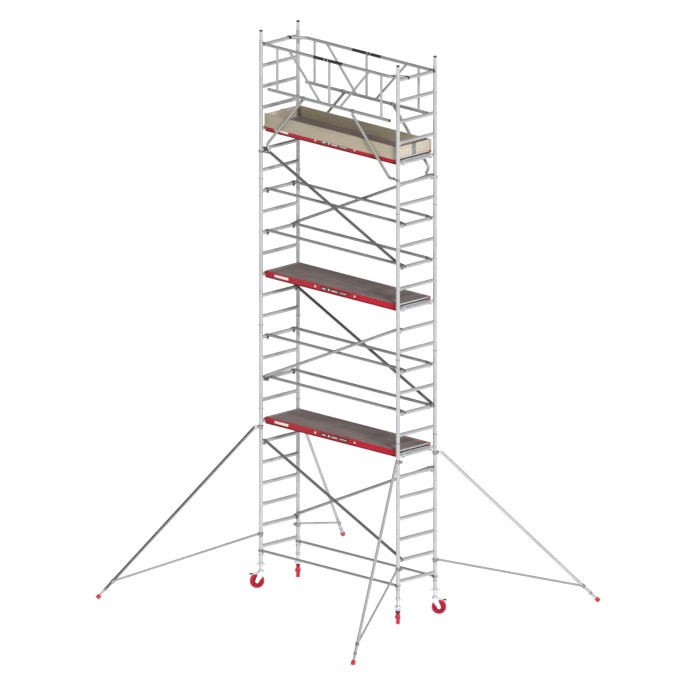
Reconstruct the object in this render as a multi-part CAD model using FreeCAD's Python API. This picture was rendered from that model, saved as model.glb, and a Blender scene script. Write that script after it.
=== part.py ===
import FreeCAD, Part
import math
import os

# Mobile tower scaffold. Units are millimetres.
# The origin is on the ground under the middle of the tower. X runs along the bay,
# Y across it (front is -Y) and Z is up.

vector = FreeCAD.Vector

# Tower layout
bay_length = 2510.0               # post to post along X, between axes
bay_width = 680.0                 # post to post along Y, between axes
rung_pitch = 280.0
first_rung_height = 555.0
frame_rung_counts = (7, 4, 7, 7)  # rungs in each end frame, from the bottom up
post_below_rung = 210.0           # a frame's posts start this far below its first rung
post_above_rung = 70.0            # and end this far above its last rung

# Frame tubes and what joins them
post_diameter = 50.8
post_wall = 2.4
rung_diameter = 48.0
rung_wall = 2.0
weld_gap = 0.2                    # between pieces that are welded or bolted together
fit_gap = 0.3                     # between a clasp and the tube that it clasps
frame_gap = 0.4                   # between the posts of two stacked frames
spigot_clearance = 0.3
spigot_root_relief = 0.3          # the part pressed into the lower post is this much slimmer
spigot_wall = 2.0
spigot_inside = 100.0
spigot_outside = 130.0

# Locking clip: a pin through the post wall and a wire that wraps the post
clip_below_rung = 110.0
clip_wire_radius = 3.2
clip_pin_radius = 3.6
clip_hole_radius = 4.0
clip_wrap_angle = 285.0

# Braces
brace_diameter = 40.0
low_brace_diameter = 34.0
brace_wall = 2.0
brace_offset = 25.0               # brace axis to rung axis, square to the brace
brace_inset = 100.0               # post axis to the level braces, across the tower
diagonal_inset = 50.0
low_brace_below_rung = 55.0
horizontal_brace_rungs = (8, 10, 15, 17)
front_diagonals = ((5, 1), (8, 12), (19, 15))   # rung on the left frame, rung on the right
back_diagonals = ((1, 5), (12, 8), (15, 19))
claw_reach = 50.0                 # rung or post axis to the end of the brace tube
claw_thickness = 8.0
claw_width = 28.0
claw_neck_width = 24.0
claw_neck_height = 28.0
claw_mouth = 8.0                  # the jaw is open below, from its far side to here
trigger_thickness = 5.0
trigger_width = 12.0
trigger_drop = 34.0

# Platforms
platform_rungs = (6, 13, 20)
platform_end_gap = 45.0           # post axis to the end of the platform
platform_side_gap = 35.0          # post axis to the outside of the side beam
beam_thickness = 30.0
beam_below_rung = 30.0
beam_above_rung = 60.0
beam_wall = 2.5
deck_above_rung = 58.0
deck_thickness = 12.0
deck_gap = 1.0
end_beam_thickness = 36.0
end_beam_below_rung = 20.0
cross_beam_width = 40.0
cross_beam_height = 32.0
cross_beam_wall = 2.5
cross_beam_count = 3              # between the left end and the hatch
hatch_length = 630.0
hatch_end_gap = 130.0             # platform end to the hatch
hatch_side_gap = 20.0             # side beam to the hatch
hatch_gap = 2.0
hatch_ledge = 14.0                # how far the beams reach under the hatch
hook_inset = 30.0                 # side beam to the middle of the hook
hook_width = 36.0
hook_thickness = 9.0
hook_lip = 6.0                    # the hook reaches this far below the rung axis outside
hook_root = 18.0                  # and this far below it at the platform
lock_gap = 1.5

# Hatch hinges and latch
hinge_inset = 70.0                # hatch end to the middle of the hinge
hinge_offset = 7.0                # hatch edge to the hinge axis
hinge_pin_radius = 2.0
hinge_barrel_radius = 4.0
hinge_knuckle = 24.0
hinge_leaf = 2.0
hinge_leaf_reach = 32.0
running_clearance = 0.05
latch_place = 290.0               # from the hatch's left end
latch_length = 70.0
latch_width = 34.0
latch_height = 4.0
latch_inset = 12.0

# Toe boards
board_height = 145.0
board_thickness = 22.0
board_lip = 3.0                   # the lower edge of a long board hangs over the side beam
board_drop = 30.0
board_end_gap = 33.0              # post axis to the end of the long board
end_board_gap = 3.0               # platform end to the outside of the end board
board_seat = 0.3
bracket_width = 70.0
bracket_thickness = 2.0
corner_leg = 40.0
corner_height = 120.0

# Guardrail frames, given for the front one: the back one is the same turned half round
rail_diameter = 42.0
rail_post_diameter = 32.0
rail_wall = 2.0
rail_inset = 33.0                 # post axis to the rail's axis, across the tower
upper_rail_above_rung = 12.0
rail_spacing = 592.0
rail_left_gap = 50.0              # post axis to the rail's left end
rail_right_gap = 55.0
rail_bend_length = 140.0          # along X, from the bend to the right end
rail_bend_width = 137.0           # along Y
rail_bend_radius = 70.0
lower_rail_left_gap = 108.0
lower_rail_right_gap = 185.0
rail_posts_x = (-988.0, -35.0, 917.0)
rail_diagonals_x = ((-762.0, -209.0), (690.0, 162.0))   # top end, bottom end
rail_hook_width = 24.0
rail_hook_thickness = 9.0
rail_hook_inset = 11.0            # rail axis to the middle of the left hook
rail_hook_height = 28.0
end_cap_thickness = 6.0

# Guardrail struts, which hang from the lower rail outside the beams
strut_diameter = 38.0
strut_wall = 2.0
strut_inset = 10.0                # post axis to the strut's axis, across the tower
strut_eye_thickness = 6.0
strut_eye_width = 34.0
strut_bend_radius = 40.0
left_strut_top_x = -504.0
left_knee_gap = 105.0             # post axis to the knee, along X
left_knee_drop = 729.0            # lower rail to the knee
left_foot_gap = 155.0
left_foot_drop = 823.0
right_strut_top_x = 395.0
right_knee_gap = 170.0
right_knee_drop = 757.0
right_foot_gap = 80.0
strut_clip_thickness = 6.0
strut_clip_height = 36.0
strut_clip_arm = 16.0

# Adjustable legs
leg_nut_diameter = 65.0
leg_nut_height = 36.0
leg_nut_wing_span = 132.0
leg_nut_wing_width = 16.0
leg_nut_wing_height = 20.0
spindle_diameter = 38.0
spindle_inside = 450.0            # length inside the post
spindle_wall = 5.0
collar_diameter = 59.0
collar_height = 12.0
stem_diameter = 23.9
stem_depth = 64.0
stem_floor = 10.0

# Casters: built with the trail along +X and the swivel on the Z axis
caster_turns = {"fl": -135.0, "fr": -45.0, "bl": 135.0, "br": 45.0}
wheel_radius = 95.0
wheel_width = 50.0
tyre_depth = 19.0
tyre_edge = 6.0
rim_width = 42.0
rim_band = 9.0
web_thickness = 16.0
hub_radius = 26.0
hub_width = 60.0
caster_trail = 50.0
axle_radius = 8.0
axle_head_radius = 13.0
axle_length = 85.0
fork_inner_half = 32.0
fork_arm_thickness = 5.0
fork_half_length = 42.0
fork_boss_radius = 25.0
yoke_gap = 14.0                   # top of the wheel to the yoke
yoke_thickness = 6.0
swivel_head_radius = 45.0
swivel_head_height = 16.0

# Brake pedals, hinged on a pin between the fork arms
pedal_pin_x = 38.0
pedal_pin_drop = 7.0              # below the yoke
pedal_pin_radius = 3.0
pedal_barrel_radius = 5.0
pedal_reach = 149.0
pedal_drop = 13.0
pedal_thickness = 6.0
pedal_width = 62.0

# Stabilizers: built with the leg along +X and the post on the Z axis
stabilizer_angle = 60.4           # between the bay's length and the leg, seen from above
leg_tube_diameter = 40.0
leg_tube_wall = 2.5
leg_slope = 45.4                  # below the horizontal
leg_elbow_reach = 85.0
stabilizer_below_platform = 75.0  # first platform's rungs to the upper coupler
leg_bend_radius = 45.0
leg_tube_end_reach = 2100.0
inner_tube_clearance = 0.5
inner_tube_wall = 2.5
inner_tube_overlap = 600.0
boot_radius = 30.0
boot_length = 55.0
boot_floor = 8.0                  # rubber below the end of the inner tube
boot_flat = 6.0                   # how much of the boot's edge the ground takes off
low_coupler_above_rung = 165.0    # above the first rung
coupler_height = 50.0
coupler_thickness = 7.0
coupler_slot = 6.0
coupler_ear_thickness = 10.0
coupler_ear_length = 29.3
coupler_ear_height = 34.0
coupler_bolt_radius = 5.0
coupler_bolt_half = 36.0
coupler_lug_end = 45.0
coupler_lug_width = 30.0
coupler_lug_height = 34.0
low_strut_diameter = 28.0
low_strut_wall = 2.0
low_strut_gap = 4.0               # coupler lug to the strut's end, on the axis
low_strut_joint_reach = 1990.0
leg_clamp_thickness = 6.0
leg_clamp_width = 44.0

half_length = bay_length / 2
half_width = bay_width / 2
post_radius = post_diameter / 2
rung_radius = rung_diameter / 2
brace_radius = brace_diameter / 2
spindle_radius = spindle_diameter / 2
rail_radius = rail_diameter / 2
leg_tube_radius = leg_tube_diameter / 2
brace_y = half_width - brace_inset
diagonal_y = half_width - diagonal_inset
low_brace_height = first_rung_height - low_brace_below_rung

platform_half_length = half_length - platform_end_gap
beam_outer_y = half_width - platform_side_gap
beam_inner_y = beam_outer_y - beam_thickness
hatch_high_x = platform_half_length - hatch_end_gap
hatch_low_x = hatch_high_x - hatch_length
hatch_half_width = beam_inner_y - hatch_side_gap
hook_y = beam_inner_y - hook_inset
hinge_places = (hatch_low_x + hinge_inset, hatch_high_x - hinge_inset)
hinge_y = -hatch_half_width - hinge_offset
latch_x = hatch_low_x + latch_place
board_outer_y = beam_outer_y + weld_gap + board_lip
board_half_length = half_length - board_end_gap
end_board_outer_x = platform_half_length - end_board_gap

top_rung_height = first_rung_height + (sum(frame_rung_counts) - 1) * rung_pitch
rail_y = rail_inset - half_width
upper_rail_height = top_rung_height + upper_rail_above_rung
lower_rail_height = upper_rail_height - rail_spacing
rail_left_x = rail_left_gap - half_length
rail_right_x = half_length - rail_right_gap
rail_bend_x = rail_right_x - rail_bend_length
rail_right_y = rail_y + rail_bend_width
lower_rail_low_x = lower_rail_left_gap - half_length
lower_rail_high_x = half_length - lower_rail_right_gap
rail_hook_left_y = rail_y + rail_hook_inset
strut_y = strut_inset - half_width
left_strut_knee = (left_knee_gap - half_length, lower_rail_height - left_knee_drop)
left_strut_foot = (left_foot_gap - half_length, lower_rail_height - left_foot_drop)
right_strut_knee = (half_length - right_knee_gap, lower_rail_height - right_knee_drop)
right_strut_foot_x = half_length - right_foot_gap

yoke_bottom = 2 * wheel_radius + yoke_gap
collar_bottom = yoke_bottom + yoke_thickness + swivel_head_height
pedal_pin_z = yoke_bottom - pedal_pin_drop
spindle_top = first_rung_height - post_below_rung + spindle_inside
leg_elbow_height = first_rung_height + platform_rungs[0] * rung_pitch - stabilizer_below_platform
low_coupler_height = first_rung_height + low_coupler_above_rung
corners = {"fl": (-1, -1), "fr": (1, -1), "bl": (-1, 1), "br": (1, 1)}


def rung_height(index):
    return first_rung_height + index * rung_pitch


def frame_starts():
    """The number of each end frame's first rung."""
    starts = []
    for index in range(len(frame_rung_counts)):
        starts.append(sum(frame_rung_counts[:index]))
    return starts


def rod(start, end, radius):
    """A solid round bar."""
    span = end - start
    return Part.makeCylinder(radius, span.Length, start, span)


def tube(start, end, radius, wall):
    return rod(start, end, radius).cut(rod(start, end, radius - wall))


def block(low, high):
    """A box between two opposite corners."""
    size = high - low
    return Part.makeBox(size.x, size.y, size.z, low)


def hollow_block(low, high, wall, along):
    """A rectangular tube, open at both ends along one of its axes."""
    inset = vector(wall, wall, wall)
    setattr(inset, along, 0.0)
    return block(low, high).cut(block(low + inset, high - inset))


def ring(centre, direction, inner, outer, width):
    """A flat ring about an axis, half its width on each side of the centre."""
    half = vector(direction).normalize() * (width / 2)
    start = centre - half
    end = centre + half
    return rod(start, end, outer).cut(rod(start, end, inner))


def plate(points, start_y, end_y):
    """A flat plate with its outline given as (x, z) points, between two values of y."""
    corner_points = [vector(x, start_y, z) for x, z in points]
    outline = Part.makePolygon(corner_points + corner_points[:1])
    return Part.Face(outline).extrude(vector(0, end_y - start_y, 0))


def bent_path(points, bend_radius):
    """Straight runs joined by tangent arcs of one radius."""
    edges = []
    start = points[0]
    for before, corner, after in zip(points, points[1:], points[2:]):
        backward = (before - corner).normalize()
        forward = (after - corner).normalize()
        half_angle = backward.getAngle(forward) / 2
        setback = bend_radius / math.tan(half_angle)
        inward = (backward + forward).normalize()
        centre = corner + inward * (bend_radius / math.sin(half_angle))
        arc_start = corner + backward * setback
        arc_end = corner + forward * setback
        edges.append(Part.LineSegment(start, arc_start).toShape())
        edges.append(Part.Arc(arc_start, centre - inward * bend_radius, arc_end).toShape())
        start = arc_end
    edges.append(Part.LineSegment(start, points[-1]).toShape())
    return Part.Wire(edges)


def bent_tube(points, radius, wall, bend_radius):
    path = bent_path(points, bend_radius)
    swept = []
    for section_radius in (radius, radius - wall):
        section = Part.Circle(points[0], points[1] - points[0], section_radius).toShape()
        swept.append(path.makePipeShell([Part.Wire([section])], True, False))
    return swept[0].cut(swept[1])


def placed(shape, position, angle=0.0):
    """A copy turned about the Z axis by an angle in degrees and then moved."""
    turned = shape.copy()
    turned.rotate(vector(0, 0, 0), vector(0, 0, 1), angle)
    turned.translate(position)
    return turned


def aligned(shape, position, forward, upward):
    """A copy whose X axis points forward and whose Z axis points upward."""
    copy = shape.copy()
    turn = FreeCAD.Rotation(forward, vector(), upward, "XZY")
    copy.Placement = FreeCAD.Placement(position, turn)
    return copy


def half_turned(shape):
    """A copy turned half round about the tower's centre line."""
    return placed(shape, vector(0, 0, 0), 180.0)


def save(node, shapes):
    """Write one sub-part: all the solids of a list of shapes."""
    solids = [solid for shape in shapes for solid in shape.Solids]
    Part.makeCompound(solids).exportStep("parts/" + node + ".step")


# End frames

def clip_hole(x, y, side, height):
    """The hole in a post wall, on the side that faces the middle of the bay."""
    start = vector(x, y, height)
    return rod(start, start + vector(-side * post_diameter, 0, 0), clip_hole_radius)


def end_frame(side, first_rung, count):
    x = side * half_length
    bottom = rung_height(first_rung) - post_below_rung + frame_gap
    top = rung_height(first_rung + count - 1) + post_above_rung
    pieces = []
    envelopes = []
    for y in (-half_width, half_width):
        start = vector(x, y, bottom)
        end = vector(x, y, top)
        hole = clip_hole(x, y, side, rung_height(first_rung) - clip_below_rung)
        pieces.append(tube(start, end, post_radius, post_wall).cut(hole))
        envelopes.append(rod(start, end, post_radius + weld_gap))
    for index in range(first_rung, first_rung + count):
        z = rung_height(index)
        rung = tube(vector(x, -half_width, z), vector(x, half_width, z), rung_radius, rung_wall)
        pieces.append(rung.cut(envelopes[0]).cut(envelopes[1]))
    return pieces


def frame_spigots():
    """A short tube in the top of every frame post. The next frame stands over it."""
    radius = post_radius - post_wall - spigot_clearance
    pieces = []
    for first_rung, count in zip(frame_starts(), frame_rung_counts):
        seat = rung_height(first_rung + count - 1) + post_above_rung
        hole_height = seat + post_below_rung - clip_below_rung
        for side, across in corners.values():
            x = side * half_length
            y = across * half_width
            low = vector(x, y, seat - spigot_inside)
            middle = vector(x, y, seat)
            high = vector(x, y, seat + spigot_outside)
            root = tube(low, middle, radius - spigot_root_relief, spigot_wall - spigot_root_relief)
            spigot = tube(middle, high, radius, spigot_wall).fuse(root)
            pieces.append(spigot.cut(clip_hole(x, y, side, hole_height)))
    return pieces


def locking_clips():
    wire_centre = post_radius + fit_gap + clip_wire_radius
    upward = vector(0, 0, 1)
    wire = Part.makeTorus(wire_centre, clip_wire_radius, vector(0, 0, 0), upward, -180, 180, clip_wrap_angle)
    pin_tip = spindle_radius + 4 * fit_gap
    pin = rod(vector(pin_tip, 0, 0), vector(wire_centre, 0, 0), clip_pin_radius)
    clip = wire.fuse(pin)
    pieces = []
    for first_rung in frame_starts():
        height = rung_height(first_rung) - clip_below_rung
        for side, across in corners.values():
            turn = 180.0 if side > 0 else 0.0
            pieces.append(placed(clip, vector(side * half_length, across * half_width, height), turn))
    return pieces


# Braces

def rung_claw():
    """A jaw over a rung on the Y axis, with a neck to the brace on the +X side."""
    inner = rung_radius + fit_gap
    outer = inner + claw_thickness
    origin = vector(0, 0, 0)
    jaw = ring(origin, vector(0, 1, 0), inner, outer, claw_width)
    mouth = block(vector(-2 * outer, -outer, -2 * outer), vector(claw_mouth, outer, -weld_gap))
    low = vector(0, -claw_neck_width / 2, brace_offset - claw_neck_height / 2)
    high = vector(claw_reach - weld_gap, claw_neck_width / 2, brace_offset + claw_neck_height / 2)
    neck = block(low, high)
    rung = rod(vector(0, -outer, 0), vector(0, outer, 0), inner)
    return jaw.cut(mouth).fuse(neck).cut(rung)


def rung_claw_trigger():
    """The spring catch below the neck, which closes the jaw's mouth."""
    outer = rung_radius + fit_gap + claw_thickness
    inside = outer + fit_gap
    outside = inside + trigger_thickness
    top = brace_offset - claw_neck_height / 2 - fit_gap
    outline = ((outside, top), (inside, top), (inside, -outer - fit_gap), (claw_mouth, -outer - fit_gap),
               (claw_mouth, -trigger_drop), (outside, -trigger_drop))
    return plate(outline, -trigger_width / 2, trigger_width / 2)


def post_claw():
    """A jaw round a post on the Z axis, open on the far side from its brace."""
    inner = post_radius + fit_gap
    outer = inner + claw_thickness
    jaw = ring(vector(0, 0, 0), vector(0, 0, 1), inner, outer, claw_width)
    mouth = block(vector(-2 * outer, -inner, -claw_width), vector(-claw_mouth, inner, claw_width))
    half = low_brace_diameter / 2
    neck = block(vector(0, -half, -half), vector(claw_reach - weld_gap, half, half))
    post = rod(vector(0, 0, -outer), vector(0, 0, outer), inner)
    return jaw.cut(mouth).fuse(neck).cut(post)


def post_claw_trigger():
    half = low_brace_diameter / 2
    top = -half - fit_gap
    low = vector(claw_reach - 3 * trigger_thickness, -trigger_width / 2, top - trigger_drop / 2)
    return block(low, vector(claw_reach, trigger_width / 2, top))


def brace_lines():
    """The rung to rung line of every brace that hooks on rungs: (left point, right point)."""
    lines = []
    for y in (-brace_y, brace_y):
        for index in horizontal_brace_rungs:
            lines.append((y, index, index))
    for left, right in front_diagonals:
        lines.append((-diagonal_y, left, right))
    for left, right in back_diagonals:
        lines.append((diagonal_y, left, right))
    return lines


def braces():
    """All horizontal tubes, diagonal tubes, claws and triggers."""
    horizontal = []
    diagonal = []
    claws = []
    triggers = []
    for y, left, right in brace_lines():
        start = vector(-half_length, y, rung_height(left))
        end = vector(half_length, y, rung_height(right))
        forward = (end - start).normalize()
        upward = vector(-forward.z, 0, forward.x)
        lift = upward * brace_offset
        tube_start = start + forward * claw_reach + lift
        tube_end = end - forward * claw_reach + lift
        group = horizontal if left == right else diagonal
        group.append(tube(tube_start, tube_end, brace_radius, brace_wall))
        for point, direction in ((start, forward), (end, forward * -1)):
            claws.append(aligned(rung_claw(), point, direction, upward))
            triggers.append(aligned(rung_claw_trigger(), point, direction, upward))
    for y in (-half_width, half_width):
        reach = half_length - claw_reach
        radius = low_brace_diameter / 2
        low_start = vector(-reach, y, low_brace_height)
        horizontal.append(tube(low_start, vector(reach, y, low_brace_height), radius, brace_wall))
        for side, turn in ((-1, 0.0), (1, 180.0)):
            post = vector(side * half_length, y, low_brace_height)
            claws.append(placed(post_claw(), post, turn))
            triggers.append(placed(post_claw_trigger(), post, turn))
    return horizontal, diagonal, claws, triggers


# Platforms. Each function gives the pieces of one platform, with z measured from its rungs.

def side_beams():
    pieces = []
    for low_y in (-beam_outer_y, beam_inner_y):
        low = vector(-platform_half_length, low_y, -beam_below_rung)
        high = vector(platform_half_length, low_y + beam_thickness, beam_above_rung)
        pieces.append(hollow_block(low, high, beam_wall, "x"))
    return pieces


def cross_beams():
    """End beams, beams under the deck, the two that carry the hatch, and the hatch trimmers."""
    reach = beam_inner_y - weld_gap
    deck_bottom = deck_above_rung - deck_thickness
    pieces = []
    for low_x in (-platform_half_length, platform_half_length - end_beam_thickness):
        low = vector(low_x, -reach, -end_beam_below_rung)
        high = vector(low_x + end_beam_thickness, reach, beam_above_rung)
        pieces.append(hollow_block(low, high, cross_beam_wall, "y"))
    span = (hatch_low_x + platform_half_length) / (cross_beam_count + 1)
    starts = [number * span - platform_half_length - cross_beam_width / 2
              for number in range(1, cross_beam_count + 1)]
    starts.append(hatch_low_x + hatch_ledge - cross_beam_width)
    starts.append(hatch_high_x - hatch_ledge)
    top = deck_bottom - fit_gap
    for low_x in starts:
        low = vector(low_x, -reach, top - cross_beam_height)
        high = vector(low_x + cross_beam_width, reach, top)
        pieces.append(hollow_block(low, high, cross_beam_wall, "y"))
    trimmer_low_x = hatch_low_x + hatch_gap
    trimmer_high_x = hatch_high_x - hatch_gap
    for low_y, high_y in ((-reach, -hatch_half_width), (hatch_half_width, reach)):
        low = vector(trimmer_low_x, low_y, top + weld_gap)
        pieces.append(block(low, vector(trimmer_high_x, high_y, deck_above_rung)))
    return pieces


def decks():
    end = platform_half_length - end_beam_thickness - deck_gap
    reach = beam_inner_y - deck_gap
    bottom = deck_above_rung - deck_thickness
    pieces = []
    for low_x, high_x in ((-end, hatch_low_x), (hatch_high_x, end)):
        pieces.append(block(vector(low_x, -reach, bottom), vector(high_x, reach, deck_above_rung)))
    return pieces


def hook():
    """A hook over a rung on the Y axis, with the platform on the -X side."""
    inner = rung_radius + fit_gap
    outer = inner + hook_thickness
    half = hook_width / 2
    root_x = platform_half_length - half_length + weld_gap
    shell = ring(vector(0, 0, 0), vector(0, 1, 0), inner, outer, hook_width)
    opening = block(vector(-outer, -hook_width, -outer), vector(outer, hook_width, -hook_lip))
    root = block(vector(root_x, -half, -hook_root), vector(0, half, outer))
    rung = rod(vector(0, -hook_width, 0), vector(0, hook_width, 0), inner)
    return shell.cut(opening).fuse(root).cut(rung)


def wind_lock():
    """The catch under the outside of the rung, below the hook's lip."""
    inner = rung_radius + 2 * fit_gap
    outer = rung_radius + hook_thickness
    shell = ring(vector(0, 0, 0), vector(0, 1, 0), inner, outer, hook_width / 2)
    low = vector(-hook_lip, -hook_width, -outer)
    return shell.common(block(low, vector(outer, hook_width, -hook_lip - lock_gap)))


def at_platform_corners(piece, index):
    """Copies of a hook or lock at the four corners of the platform on a rung."""
    pieces = []
    for side, across in corners.values():
        turn = 0.0 if side > 0 else 180.0
        position = vector(side * half_length, across * hook_y, rung_height(index))
        pieces.append(placed(piece, position, turn))
    return pieces


def hinge_axis_height():
    return deck_above_rung + fit_gap + hinge_barrel_radius


def hinge_leaf_block(x, width, low_y, high_y):
    low = vector(x - width / 2, low_y, deck_above_rung + fit_gap)
    return block(low, vector(x + width / 2, high_y, deck_above_rung + fit_gap + hinge_leaf))


def fixed_hinges():
    """The trimmer's leaf, its middle knuckle and the pin, at both hinge places."""
    z = hinge_axis_height()
    pieces = []
    for x in hinge_places:
        leaf = hinge_leaf_block(x, hinge_knuckle, hinge_y - hinge_leaf_reach / 3, hinge_y)
        middle = vector(x, hinge_y, z)
        knuckle = rod(middle - vector(hinge_knuckle / 2, 0, 0), middle + vector(hinge_knuckle / 2, 0, 0),
                      hinge_barrel_radius)
        pin = rod(middle - vector(hinge_knuckle, 0, 0), middle + vector(hinge_knuckle, 0, 0), hinge_pin_radius)
        pieces.append(leaf.fuse(knuckle).fuse(pin))
    return pieces


def hatch():
    """The panel, its two hinge leaves with a pair of knuckles each, and the latch plate."""
    bottom = deck_above_rung - deck_thickness
    reach = hatch_half_width - hatch_gap
    low = vector(hatch_low_x + hatch_gap, -reach, bottom)
    pieces = [block(low, vector(hatch_high_x - hatch_gap, reach, deck_above_rung))]
    z = hinge_axis_height()
    width = hinge_knuckle / 2 - fit_gap
    for x in hinge_places:
        for side in (-1, 1):
            centre = x + side * (hinge_knuckle / 2 + fit_gap + width / 2)
            middle = vector(centre, hinge_y, z)
            half = vector(width / 2, 0, 0)
            knuckle = rod(middle - half, middle + half, hinge_barrel_radius)
            leaf = hinge_leaf_block(centre, width, hinge_y, hinge_y + hinge_leaf_reach)
            bore = rod(middle - half, middle + half, hinge_pin_radius + running_clearance)
            pieces.append(leaf.fuse(knuckle).cut(bore))
    high_y = reach - latch_inset
    latch_low = vector(latch_x - latch_length / 2, high_y - latch_width, deck_above_rung + weld_gap)
    latch_high = vector(latch_x + latch_length / 2, high_y, deck_above_rung + weld_gap + latch_height)
    pieces.append(block(latch_low, latch_high))
    return pieces


def raised(shapes, index):
    """Copies moved up to the rungs that a platform hangs on."""
    return [placed(shape, vector(0, 0, rung_height(index))) for shape in shapes]


# Toe boards round the top platform

def board_span():
    bottom = rung_height(platform_rungs[-1]) + beam_above_rung + board_seat
    return bottom, bottom + board_height


def toe_boards():
    """Two long boards whose outer lips hang over the side beams, and two end boards between them."""
    bottom, top = board_span()
    inner_y = board_outer_y - board_thickness
    lip_y = board_outer_y - board_lip
    back = block(vector(-board_half_length, inner_y, bottom), vector(board_half_length, board_outer_y, top))
    back = back.fuse(block(vector(-board_half_length, lip_y, bottom - board_drop),
                           vector(board_half_length, board_outer_y, top)))
    pieces = [back.removeSplitter()]
    pieces.append(half_turned(pieces[0]))
    end_y = inner_y - weld_gap
    for low_x in (-end_board_outer_x, end_board_outer_x - board_thickness):
        low = vector(low_x, -end_y, bottom)
        pieces.append(block(low, vector(low_x + board_thickness, end_y, top)))
    return pieces


def toe_board_brackets():
    """A plate over the top and outer side of each end board, and an angle inside each corner."""
    bottom, top = board_span()
    half = bracket_width / 2
    inner_x = end_board_outer_x - board_thickness
    inner_y = board_outer_y - board_thickness
    grow = vector(bracket_thickness, 0, bracket_thickness)
    low = vector(inner_x, -half, bottom)
    high = vector(end_board_outer_x + weld_gap, half, top + weld_gap)
    cover = block(low, high + grow).cut(block(low, high))
    corner_x = inner_x - weld_gap
    corner_y = inner_y - weld_gap
    corner_top = bottom + corner_height
    solid = block(vector(corner_x - corner_leg, corner_y - corner_leg, bottom),
                  vector(corner_x, corner_y, corner_top))
    hollow = block(vector(corner_x - corner_leg, corner_y - corner_leg, bottom),
                   vector(corner_x - bracket_thickness, corner_y - bracket_thickness, corner_top))
    right_back = solid.cut(hollow)
    right_front = right_back.mirror(vector(0, 0, 0), vector(0, 1, 0))
    right = [cover, right_back, right_front]
    return right + [half_turned(piece) for piece in right]


# Guardrail frames

def rail_point(x, height):
    return vector(x, rail_y, height)


def rail_bar(top_x, bottom_x):
    """An upright or a diagonal between the two rails, coped to both."""
    top = rail_point(top_x, upper_rail_height)
    bottom = rail_point(bottom_x, lower_rail_height)
    bar = tube(bottom, top, rail_post_diameter / 2, rail_wall)
    for height in (lower_rail_height, upper_rail_height):
        ends = rail_point(-half_length, height), rail_point(half_length, height)
        bar = bar.cut(rod(ends[0], ends[1], rail_radius + weld_gap))
    return bar


def guardrail():
    upper_points = [rail_point(rail_left_x, upper_rail_height), rail_point(rail_bend_x, upper_rail_height),
                    vector(rail_right_x, rail_right_y, upper_rail_height)]
    pieces = [bent_tube(upper_points, rail_radius, rail_wall, rail_bend_radius)]
    start = rail_point(lower_rail_low_x, lower_rail_height)
    pieces.append(tube(start, rail_point(lower_rail_high_x, lower_rail_height), rail_radius, rail_wall))
    for x in rail_posts_x:
        pieces.append(rail_bar(x, x))
    for top_x, bottom_x in rail_diagonals_x:
        pieces.append(rail_bar(top_x, bottom_x))
    return pieces


def rail_hook(reach):
    """A hook over a rung on the Y axis, with the rail's end on the +X side at a distance."""
    inner = rung_radius + fit_gap
    outer = inner + rail_hook_thickness
    half = rail_hook_width / 2
    shell = ring(vector(0, 0, 0), vector(0, 1, 0), inner, outer, rail_hook_width)
    opening = block(vector(-2 * outer, -outer, -2 * outer), vector(2 * outer, outer, -weld_gap))
    bottom = upper_rail_above_rung - rail_hook_height / 2
    neck = block(vector(0, -half, bottom), vector(reach, half, bottom + rail_hook_height))
    rung = rod(vector(0, -outer, 0), vector(0, outer, 0), inner)
    return shell.cut(opening).fuse(neck).cut(rung)


def guardrail_hooks():
    """The two hooks of the upper rail and the two caps of the lower rail."""
    left_reach = half_length + rail_left_x - weld_gap
    left = placed(rail_hook(left_reach), vector(-half_length, rail_hook_left_y, top_rung_height))
    lean = math.atan2(rail_right_y - rail_y, rail_right_x - rail_bend_x)
    end_corner_x = rail_right_x + rail_radius * math.sin(lean)
    right = placed(rail_hook(half_length - end_corner_x - weld_gap),
                   vector(half_length, rail_right_y, top_rung_height), 180.0)
    pieces = [left, right]
    for x, outward in ((lower_rail_low_x, -1), (lower_rail_high_x, 1)):
        face = rail_point(x + outward * weld_gap, lower_rail_height)
        pieces.append(rod(face, face + vector(outward * end_cap_thickness, 0, 0), rail_radius))
    return pieces


# Guardrail struts

def strut_eye(x):
    """The eye that turns on the lower rail."""
    centre = rail_point(x, lower_rail_height)
    inner = rail_radius + fit_gap
    outer = inner + strut_eye_thickness
    return ring(centre, vector(1, 0, 0), inner, outer, strut_eye_width)


def strut_tube(top_x, points):
    """The strut's tube, cut off where it meets its eye."""
    drop = rail_radius + fit_gap + strut_eye_thickness
    path = [vector(top_x, strut_y, lower_rail_height - rail_radius)]
    path += [vector(x, strut_y, z) for x, z in points]
    body = bent_tube(path, strut_diameter / 2, strut_wall, strut_bend_radius)
    centre = rail_point(top_x, lower_rail_height)
    reach = vector(strut_eye_width * 2, 0, 0)
    return body.cut(rod(centre - reach, centre + reach, drop + weld_gap))


def strut_clip(side, arm_end_x, height):
    """Half a ring on the outside of a front post, and the arm that holds it."""
    post = vector(side * half_length, -half_width, height)
    inner = post_radius + fit_gap
    outer = inner + strut_clip_thickness
    shell = ring(post, vector(0, 0, 1), inner, outer, strut_clip_height)
    inside = block(post + vector(-outer, fit_gap, -strut_clip_height), post + vector(outer, 2 * outer, strut_clip_height))
    arm_half = strut_clip_arm / 2
    arm_y = -half_width - arm_half - fit_gap
    arm_start = vector(min(arm_end_x, post.x), arm_y - arm_half, height - arm_half)
    arm_end = vector(max(arm_end_x, post.x), arm_y + arm_half, height + arm_half)
    core = rod(post - vector(0, 0, outer), post + vector(0, 0, outer), inner)
    return shell.cut(inside).fuse(block(arm_start, arm_end)).cut(core)


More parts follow.
